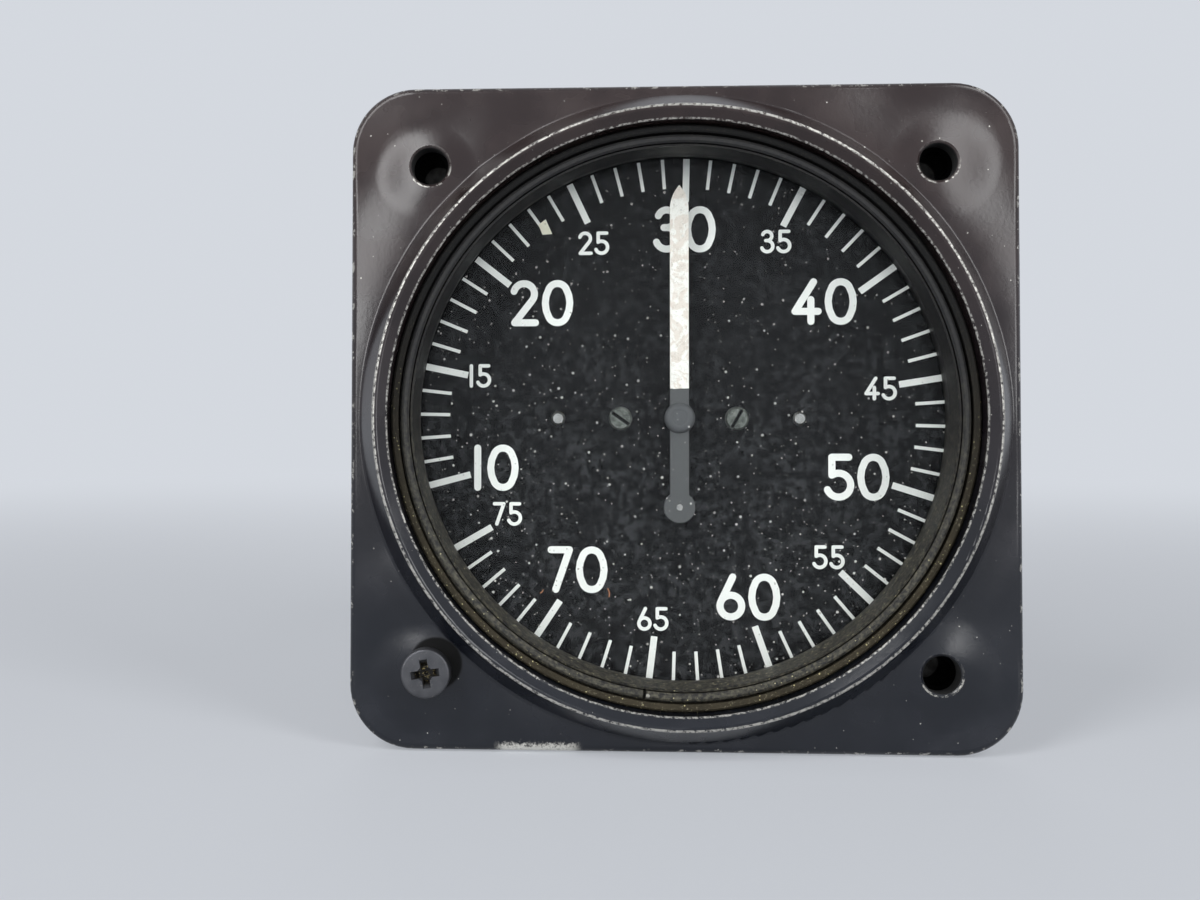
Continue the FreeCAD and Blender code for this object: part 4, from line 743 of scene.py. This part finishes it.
def pen_stroke(bm, start, heading, moves, width, round_start=True, round_end=True, layer=0):
    """One stroke of a round pen, flat in the XY plane: three points across are swept along the moves."""
    place = Vector((start[0], start[1], layer * PRINT_LAYER))
    way = Vector((math.cos(math.radians(heading)), math.sin(math.radians(heading)), 0))
    up = Vector((0, 0, 1))
    across = up.cross(way) * width / 2
    left, middle, right = (bm.verts.new(place + side * across) for side in (1, 0, -1))
    edges = [bm.edges.new((left, middle)), bm.edges.new((middle, right))]
    drawn = [left, middle, right]

    def cap(edge, centre, degrees):
        geom = bmesh.ops.spin(bm, geom=[edge, *edge.verts], cent=centre, axis=up, dvec=(0, 0, 0),
                              angle=math.radians(degrees), steps=CAP_STEPS, use_duplicate=False)
        return geom["geom_last"]

    if round_start:
        cap(edges[0], place, 180)
    for move in moves:
        if isinstance(move, tuple):
            radius, degrees = move
            centre = place + up.cross(way) * math.copysign(radius, degrees)
            steps = max(2, round(abs(degrees) / ARC_STEP))
            swept = bmesh.ops.spin(bm, geom=edges + drawn, cent=centre, axis=up, dvec=(0, 0, 0),
                                   angle=math.radians(degrees), steps=steps, use_duplicate=False)
            last = swept["geom_last"]
            turn = Matrix.Rotation(math.radians(degrees), 3, "Z")
            place = centre + turn @ (place - centre)
            way = turn @ way
        else:
            swept = bmesh.ops.extrude_edge_only(bm, edges=edges)
            last = swept["geom"]
            place = place + way * move
            bmesh.ops.translate(bm, verts=verts_in(last), vec=way * move)
        drawn = verts_in(last)
        edges = [g for g in last if isinstance(g, bmesh.types.BMEdge) and all(v in drawn for v in g.verts)]
    if round_end:
        side = up.cross(way)
        left_edge = max(edges, key=lambda e: (e.verts[0].co + e.verts[1].co).dot(side))
        cap(left_edge, place, -180)


def raise_print(bm, thickness):
    """Gives flat print its thickness, towards +Z."""
    bmesh.ops.remove_doubles(bm, verts=bm.verts, dist=PRINT_LAYER / 4)
    bmesh.ops.recalc_face_normals(bm, faces=bm.faces)
    raised = bmesh.ops.extrude_face_region(bm, geom=bm.faces[:], use_keep_orig=True)
    bmesh.ops.translate(bm, verts=verts_in(raised["geom"]), vec=(0, 0, thickness))
    bmesh.ops.recalc_face_normals(bm, faces=bm.faces)


def lay_on_dial(bm):
    """From the drawing plane to the dial's face, with +Z towards the viewer."""
    place = Matrix.Translation(PRINT_SHIFT + Vector((0, DIAL_FACE_Y, 0)))
    bmesh.ops.transform(bm, matrix=place @ Matrix.Rotation(math.radians(90), 4, "X"), verts=bm.verts)


def clock(value):
    """The angle of a value, clockwise from the top."""
    return TOP_LEAD + (value - TOP_VALUE) * SWEEP / (LAST_VALUE - FIRST_VALUE)


def polar(radius, degrees):
    """The place at this clockwise angle in the drawing plane."""
    return radius * math.sin(math.radians(degrees)), radius * math.cos(math.radians(degrees))


def draw_ticks():
    bm = bmesh.new()
    for value in range(FIRST_VALUE, LAST_VALUE + 1):
        long = value % LONG_EVERY == 0
        length = LONG_TICK_L if long else TICK_L
        width = LONG_TICK_W if long else TICK_W
        angle = clock(value)
        pen_stroke(bm, polar(TICK_OUT_R, angle), -90 - angle, [length], width, False, False)
    raise_print(bm, PRINT_T)
    lay_on_dial(bm)
    return new_object("dial_ticks", bm, [WHITE])


def scaled_moves(moves, size):
    return [(m[0] * size, m[1]) if isinstance(m, tuple) else m * size for m in moves]


def draw_number(bm, number, centre, cap, stroke):
    """A two-digit number, centred at a place."""
    size = cap - stroke
    first, second = divmod(number, 10)
    gap = GAP_AFTER_ONE if first == 1 else DIGIT_GAP
    total = DIGITS[first][0] + gap + DIGITS[second][0]
    x = centre[0] - total * size / 2
    y = centre[1] - size / 2
    for digit in (first, second):
        width, strokes = DIGITS[digit]
        for layer, (start, heading, moves) in enumerate(strokes):
            open_ended = abs(sum(m[1] for m in moves if isinstance(m, tuple)) - 360) > 1
            place = (x + start[0] * size, y + start[1] * size)
            pen_stroke(bm, place, heading, scaled_moves(moves, size), stroke, open_ended, open_ended, layer)
        x += (width + gap) * size


def draw_numerals():
    bm = bmesh.new()
    for rows, cap, stroke in ((BIG_NUMERALS, BIG_CAP, BIG_STROKE), (SMALL_NUMERALS, SMALL_CAP, SMALL_STROKE)):
        for value, radius, ahead in rows:
            draw_number(bm, value, polar(radius * MM, clock(value) + ahead), cap, stroke)
    raise_print(bm, PRINT_T)
    lay_on_dial(bm)
    return new_object("dial_numerals", bm, [WHITE])


def make_print():
    for piece in (draw_ticks(), draw_numerals()):
        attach(piece, "case")


def lathe(points, centre, steps=72):
    """A bmesh turned about an axis along Y: points are (radius, y)."""
    bm = bmesh.new()
    x, z = centre
    chain = [bm.verts.new((x + radius, y, z)) for radius, y in points]
    edges = [bm.edges.new(pair) for pair in zip(chain, chain[1:])]
    bmesh.ops.spin(bm, geom=chain + edges, cent=(x, 0, z), axis=(0, 1, 0), dvec=(0, 0, 0),
                   angle=math.radians(360), steps=steps, use_merge=True, use_duplicate=False)
    bmesh.ops.remove_doubles(bm, verts=bm.verts, dist=WELD)
    bmesh.ops.recalc_face_normals(bm, faces=bm.faces)
    return bm


def combine(obj, others, operation):
    """Cuts other objects out of a piece, or joins it with them, and removes them."""
    for other in others:
        step = obj.modifiers.new(operation.lower(), "BOOLEAN")
        step.operation = operation
        step.solver = "EXACT"
        step.object = other
    shown = obj.evaluated_get(bpy.context.evaluated_depsgraph_get())
    mesh = bpy.data.meshes.new_from_object(shown)
    obj.modifiers.clear()
    obj.data = mesh
    for other in others:
        bpy.data.objects.remove(other)


def recess_arm(turned_by):
    """One arm of the cross, narrower and shorter towards its bottom."""
    bm = bmesh.new()
    bmesh.ops.create_cube(bm, size=1.0)
    bottom = [v for v in bm.verts if v.co.y > 0]
    bmesh.ops.scale(bm, vec=(CROSS_BOTTOM_SPAN, 1.0, CROSS_BOTTOM_W), verts=bottom)
    bmesh.ops.scale(bm, vec=(CROSS_SPAN, 2 * CROSS_DEPTH, CROSS_W), verts=bm.verts)
    place = (Matrix.Translation((HOLES[0][0], SCREW_TOP_Y, HOLES[0][1]))
             @ Matrix.Rotation(math.radians(turned_by), 4, "Y"))
    bmesh.ops.transform(bm, matrix=place, verts=bm.verts)
    return new_object("recess_arm", bm, [])


def make_panel_screw():
    """The screw left in the lower left hole: rounded head, tapered cross recess, plain shank."""
    low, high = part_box("mounting_screw")
    axis = Vector(HOLES[0])
    head_r = (high.x - low.x) / 2
    head_end_y = low.y + PANEL_HEAD_H
    bm = lathe([(0, low.y), (head_r, low.y), (head_r, head_end_y), (PANEL_SHANK_R, head_end_y),
                (PANEL_SHANK_R, high.y), (0, high.y)], HOLES[0])
    rim = [edge for edge in bm.edges
           if all(v.co.y < low.y + WELD and (v.co.xz - axis).length > head_r / 2 for v in edge.verts)]
    bmesh.ops.bevel(bm, geom=rim, offset=PANEL_HEAD_ROUND, segments=PANEL_ROUND_STEPS, profile=0.5,
                    affect="EDGES", material=-1)
    screw = new_object("panel_screw", bm, [MATERIALS["black_screw"]])
    point_y = low.y - CROSS_DEPTH
    point = lathe([(0, point_y), (2 * CROSS_POINT_R, point_y), (0, low.y + CROSS_POINT_DEPTH)], HOLES[0],
                  CROSS_POINT_STEPS)
    arms = [recess_arm(CROSS_TURN), recess_arm(CROSS_TURN + 90)]
    combine(screw, [*arms, new_object("recess_point", point, [])], "DIFFERENCE")
    smooth(screw)
    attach(screw, "case")
    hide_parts("mounting_screw")


def thread_ridge(start_y, end_y, major_r, minor_r, centre):
    """A closed helical ridge: a trapezium swept along the thread."""
    bm = bmesh.new()
    x, z = centre
    root_r = minor_r - THREAD_SUNK
    corners = [(root_r, -THREAD_ROOT_HALF), (major_r, -THREAD_CREST_HALF), (major_r, THREAD_CREST_HALF),
               (root_r, THREAD_ROOT_HALF)]
    section = bm.faces.new([bm.verts.new((x + radius, start_y + share * THREAD_PITCH, z))
                            for radius, share in corners])
    turns = (end_y - start_y) / THREAD_PITCH
    steps = round(turns * THREAD_STEPS)
    rise = Vector((0, (end_y - start_y) / steps, 0))
    bmesh.ops.spin(bm, geom=[section, *section.edges, *section.verts], cent=(x, 0, z), axis=(0, 1, 0),
                   dvec=rise, angle=turns * math.tau, steps=steps, use_duplicate=False)
    bmesh.ops.recalc_face_normals(bm, faces=bm.faces)
    return bm


def make_inlet():
    """The inlet nipple with its chamfered hexagon and a cut thread."""
    low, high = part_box("pressure_fitting")
    centre = (INLET_X, 0.0)
    thread_y = high.y - THREAD_L
    hex_y = thread_y - HEX_T
    corner_r = HEX_AF / math.sqrt(3)
    bm = bmesh.new()
    bmesh.ops.create_cone(bm, cap_ends=True, segments=6, radius1=corner_r, radius2=corner_r, depth=HEX_T)
    place = Matrix.Translation((INLET_X, hex_y + HEX_T / 2, 0)) @ Matrix.Rotation(math.radians(90), 4, "X")
    bmesh.ops.transform(bm, matrix=place, verts=bm.verts)
    bmesh.ops.recalc_face_normals(bm, faces=bm.faces)
    inlet = new_object("threaded_inlet", bm, [MATERIALS["brass"]])
    flat_r = HEX_FLAT_SHARE * corner_r
    outer_r = HEX_CUTTER_SHARE * corner_r
    outer_y = thread_y - HEX_CHAMFER_SHARE * corner_r * (outer_r - flat_r) / (corner_r - flat_r)
    chamfer = lathe([(0, hex_y - MM), (outer_r, hex_y - MM), (outer_r, outer_y), (flat_r, thread_y),
                     (0, thread_y)], centre)
    combine(inlet, [new_object("hexagon_chamfer", chamfer, [])], "INTERSECT")
    minor_r = THREAD_R - THREAD_DEPTH
    end_chamfer = THREAD_DEPTH / 2
    core = lathe([(0, low.y), (SHANK_R, low.y), (SHANK_R, hex_y + MM), (minor_r, hex_y + MM),
                  (minor_r, high.y - end_chamfer), (minor_r - end_chamfer, high.y), (0, high.y)], centre)
    combine(inlet, [new_object("inlet_core", core, [])], "UNION")
    bore = lathe([(0, low.y - MM), (INLET_BORE_R, low.y - MM), (INLET_BORE_R, high.y + MM),
                  (0, high.y + MM)], centre)
    combine(inlet, [new_object("inlet_bore", bore, [])], "DIFFERENCE")
    ridge = thread_ridge(thread_y + THREAD_START, high.y - THREAD_STOP, THREAD_R, minor_r, centre)
    ridge.from_mesh(inlet.data)
    ridge.to_mesh(inlet.data)
    ridge.free()
    smooth(inlet)
    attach(inlet, "case")
    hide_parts("pressure_fitting")


def make_capsules():
    """Each capsule as a smooth-shaded piece copied from its node, which is hidden."""
    travel = next(j for j in frame["joints"] if j["name"] == "capsule_travel")
    for row in travel["deforming_nodes"]:
        node = frame["nodes"][row["node"]]
        bm = bmesh.new()
        bm.from_mesh(node.data)
        bmesh.ops.transform(bm, matrix=node.matrix_world, verts=bm.verts)
        bmesh.ops.remove_doubles(bm, verts=bm.verts, dist=WELD)
        capsule = new_object(row["node"] + "_springing", bm, [MATERIALS["bronze"]])
        smooth(capsule)
        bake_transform(capsule)
        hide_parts(row["node"])


def make_flake():
    """A flake of cream paint from the pointer, fallen on the dial's scale."""
    bm = bmesh.new()
    bm.faces.new([bm.verts.new((x, z, 0)) for x, z in FLAKE_CORNERS])
    bmesh.ops.translate(bm, vec=(*FLAKE_PLACE, 0), verts=bm.verts)
    raise_print(bm, 2 * PRINT_T)
    lay_on_dial(bm)
    flake = new_object("paint_flake", bm, [CREAM])
    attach(flake, "case")


def make_lint():
    """Two short fibres on the dial."""
    bm = bmesh.new()
    for place, heading, bend_r, bend in LINT_FIBRES:
        pen_stroke(bm, place, heading, [(bend_r, bend)], LINT_W)
    raise_print(bm, PRINT_T)
    lay_on_dial(bm)
    piece = new_object("dial_lint", bm, [LINT])
    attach(piece, "case")


def make_camera():
    roll, lean, yaw = (Matrix.Rotation(math.radians(angle), 3, axis)
                       for angle, axis in ((CAMERA_ROLL, "Y"), (CAMERA_LEAN, "X"), (CAMERA_YAW, "Z")))
    back = (roll @ lean @ yaw).transposed()
    place = back @ -CAMERA_AWAY + Vector((0, FACE_Y, 0))
    right, up, towards = (back @ Vector(way) for way in ((1, 0, 0), (0, 0, 1), (0, -1, 0)))
    axes = Matrix((right, up, towards)).transposed()
    data = bpy.data.cameras.new("camera")
    data.sensor_width = SENSOR_W
    data.lens = FOCAL_PX / IMAGE_W * SENSOR_W
    data.shift_x = (IMAGE_W / 2 - PRINCIPAL_PX[0]) / IMAGE_W
    data.shift_y = (PRINCIPAL_PX[1] - IMAGE_H / 2) / IMAGE_W
    data.clip_start = CLIP_START
    camera = bpy.data.objects.new("camera", data)
    camera.matrix_world = Matrix.Translation(place) @ axes.to_4x4()
    bpy.context.scene.collection.objects.link(camera)
    bpy.context.scene.camera = camera


def area_light(name, place, target, size, watts, mirrored):
    data = bpy.data.lights.new(name, "AREA")
    data.shape = "RECTANGLE"
    data.size, data.size_y = size
    data.energy = watts
    light = bpy.data.objects.new(name, data)
    light.visible_glossy = mirrored
    light.location = place
    light.rotation_euler = (Vector(target) - Vector(place)).to_track_quat("-Z", "Y").to_euler()
    bpy.context.scene.collection.objects.link(light)


def seen_rays(tree):
    """1 for rays that come from the camera or that gloss or glass sends on: these see the pale stage."""
    path = tree.nodes.new("ShaderNodeLightPath").outputs
    total = path["Is Camera Ray"]
    for ray in ("Is Glossy Ray", "Is Transmission Ray"):
        larger = tree.nodes.new("ShaderNodeMath")
        larger.operation = "MAXIMUM"
        tree.links.new(total, larger.inputs[0])
        tree.links.new(path[ray], larger.inputs[1])
        total = larger.outputs[0]
    return total


def make_stage():
    """A pale floor that the case stands on, leaning back on its barrel, and a pale world."""
    lean = math.atan2(FLANGE_HALF - BARREL_R, BARREL_END_Y)
    bm = bmesh.new()
    bmesh.ops.create_grid(bm, x_segments=1, y_segments=1, size=FLOOR_HALF)
    place = Matrix.Translation((0, 0, -FLANGE_HALF)) @ Matrix.Rotation(lean, 4, "X")
    bmesh.ops.transform(bm, matrix=place, verts=bm.verts)
    s = Shader("floor")
    floor = new_object("floor", bm, [s.finish(FLOOR_COLOUR, 0.8, specular=0.1)])
    glow = s.tree.nodes.new("ShaderNodeEmission")
    s.put(PALE, glow.inputs["Color"])
    away = s.math("SQRT", s.math("ADD", s.product(s.x, s.x), s.product(s.y, s.y)))
    share = s.product(s.band(away, GLOW_IN_R, GLOW_OUT_R, GLOW_LEAST, 1.0), seen_rays(s.tree))
    surface = mix_shaders(s, share, s.principled.outputs[0], glow.outputs[0])
    s.link(surface, s.output.inputs["Surface"])

    world = bpy.data.worlds.new("studio")
    world.use_nodes = True
    tree = world.node_tree
    background = tree.nodes["Background"]
    background.inputs["Color"].default_value = (*PALE, 1.0)
    strength = tree.nodes.new("ShaderNodeMix")
    tree.links.new(seen_rays(tree), strength.inputs["Factor"])
    strength.inputs["A"].default_value = WORLD_LIGHT
    strength.inputs["B"].default_value = 1.0
    tree.links.new(strength.outputs[0], background.inputs["Strength"])
    bpy.context.scene.world = world


def make_lights():
    for lamp in LAMPS:
        area_light(*lamp)


dress_nodes()
make_print()
make_flake()
make_lint()
make_panel_screw()
make_inlet()
make_capsules()
make_camera()
make_stage()
make_lights()
bpy.context.scene.view_settings.view_transform = "Standard"
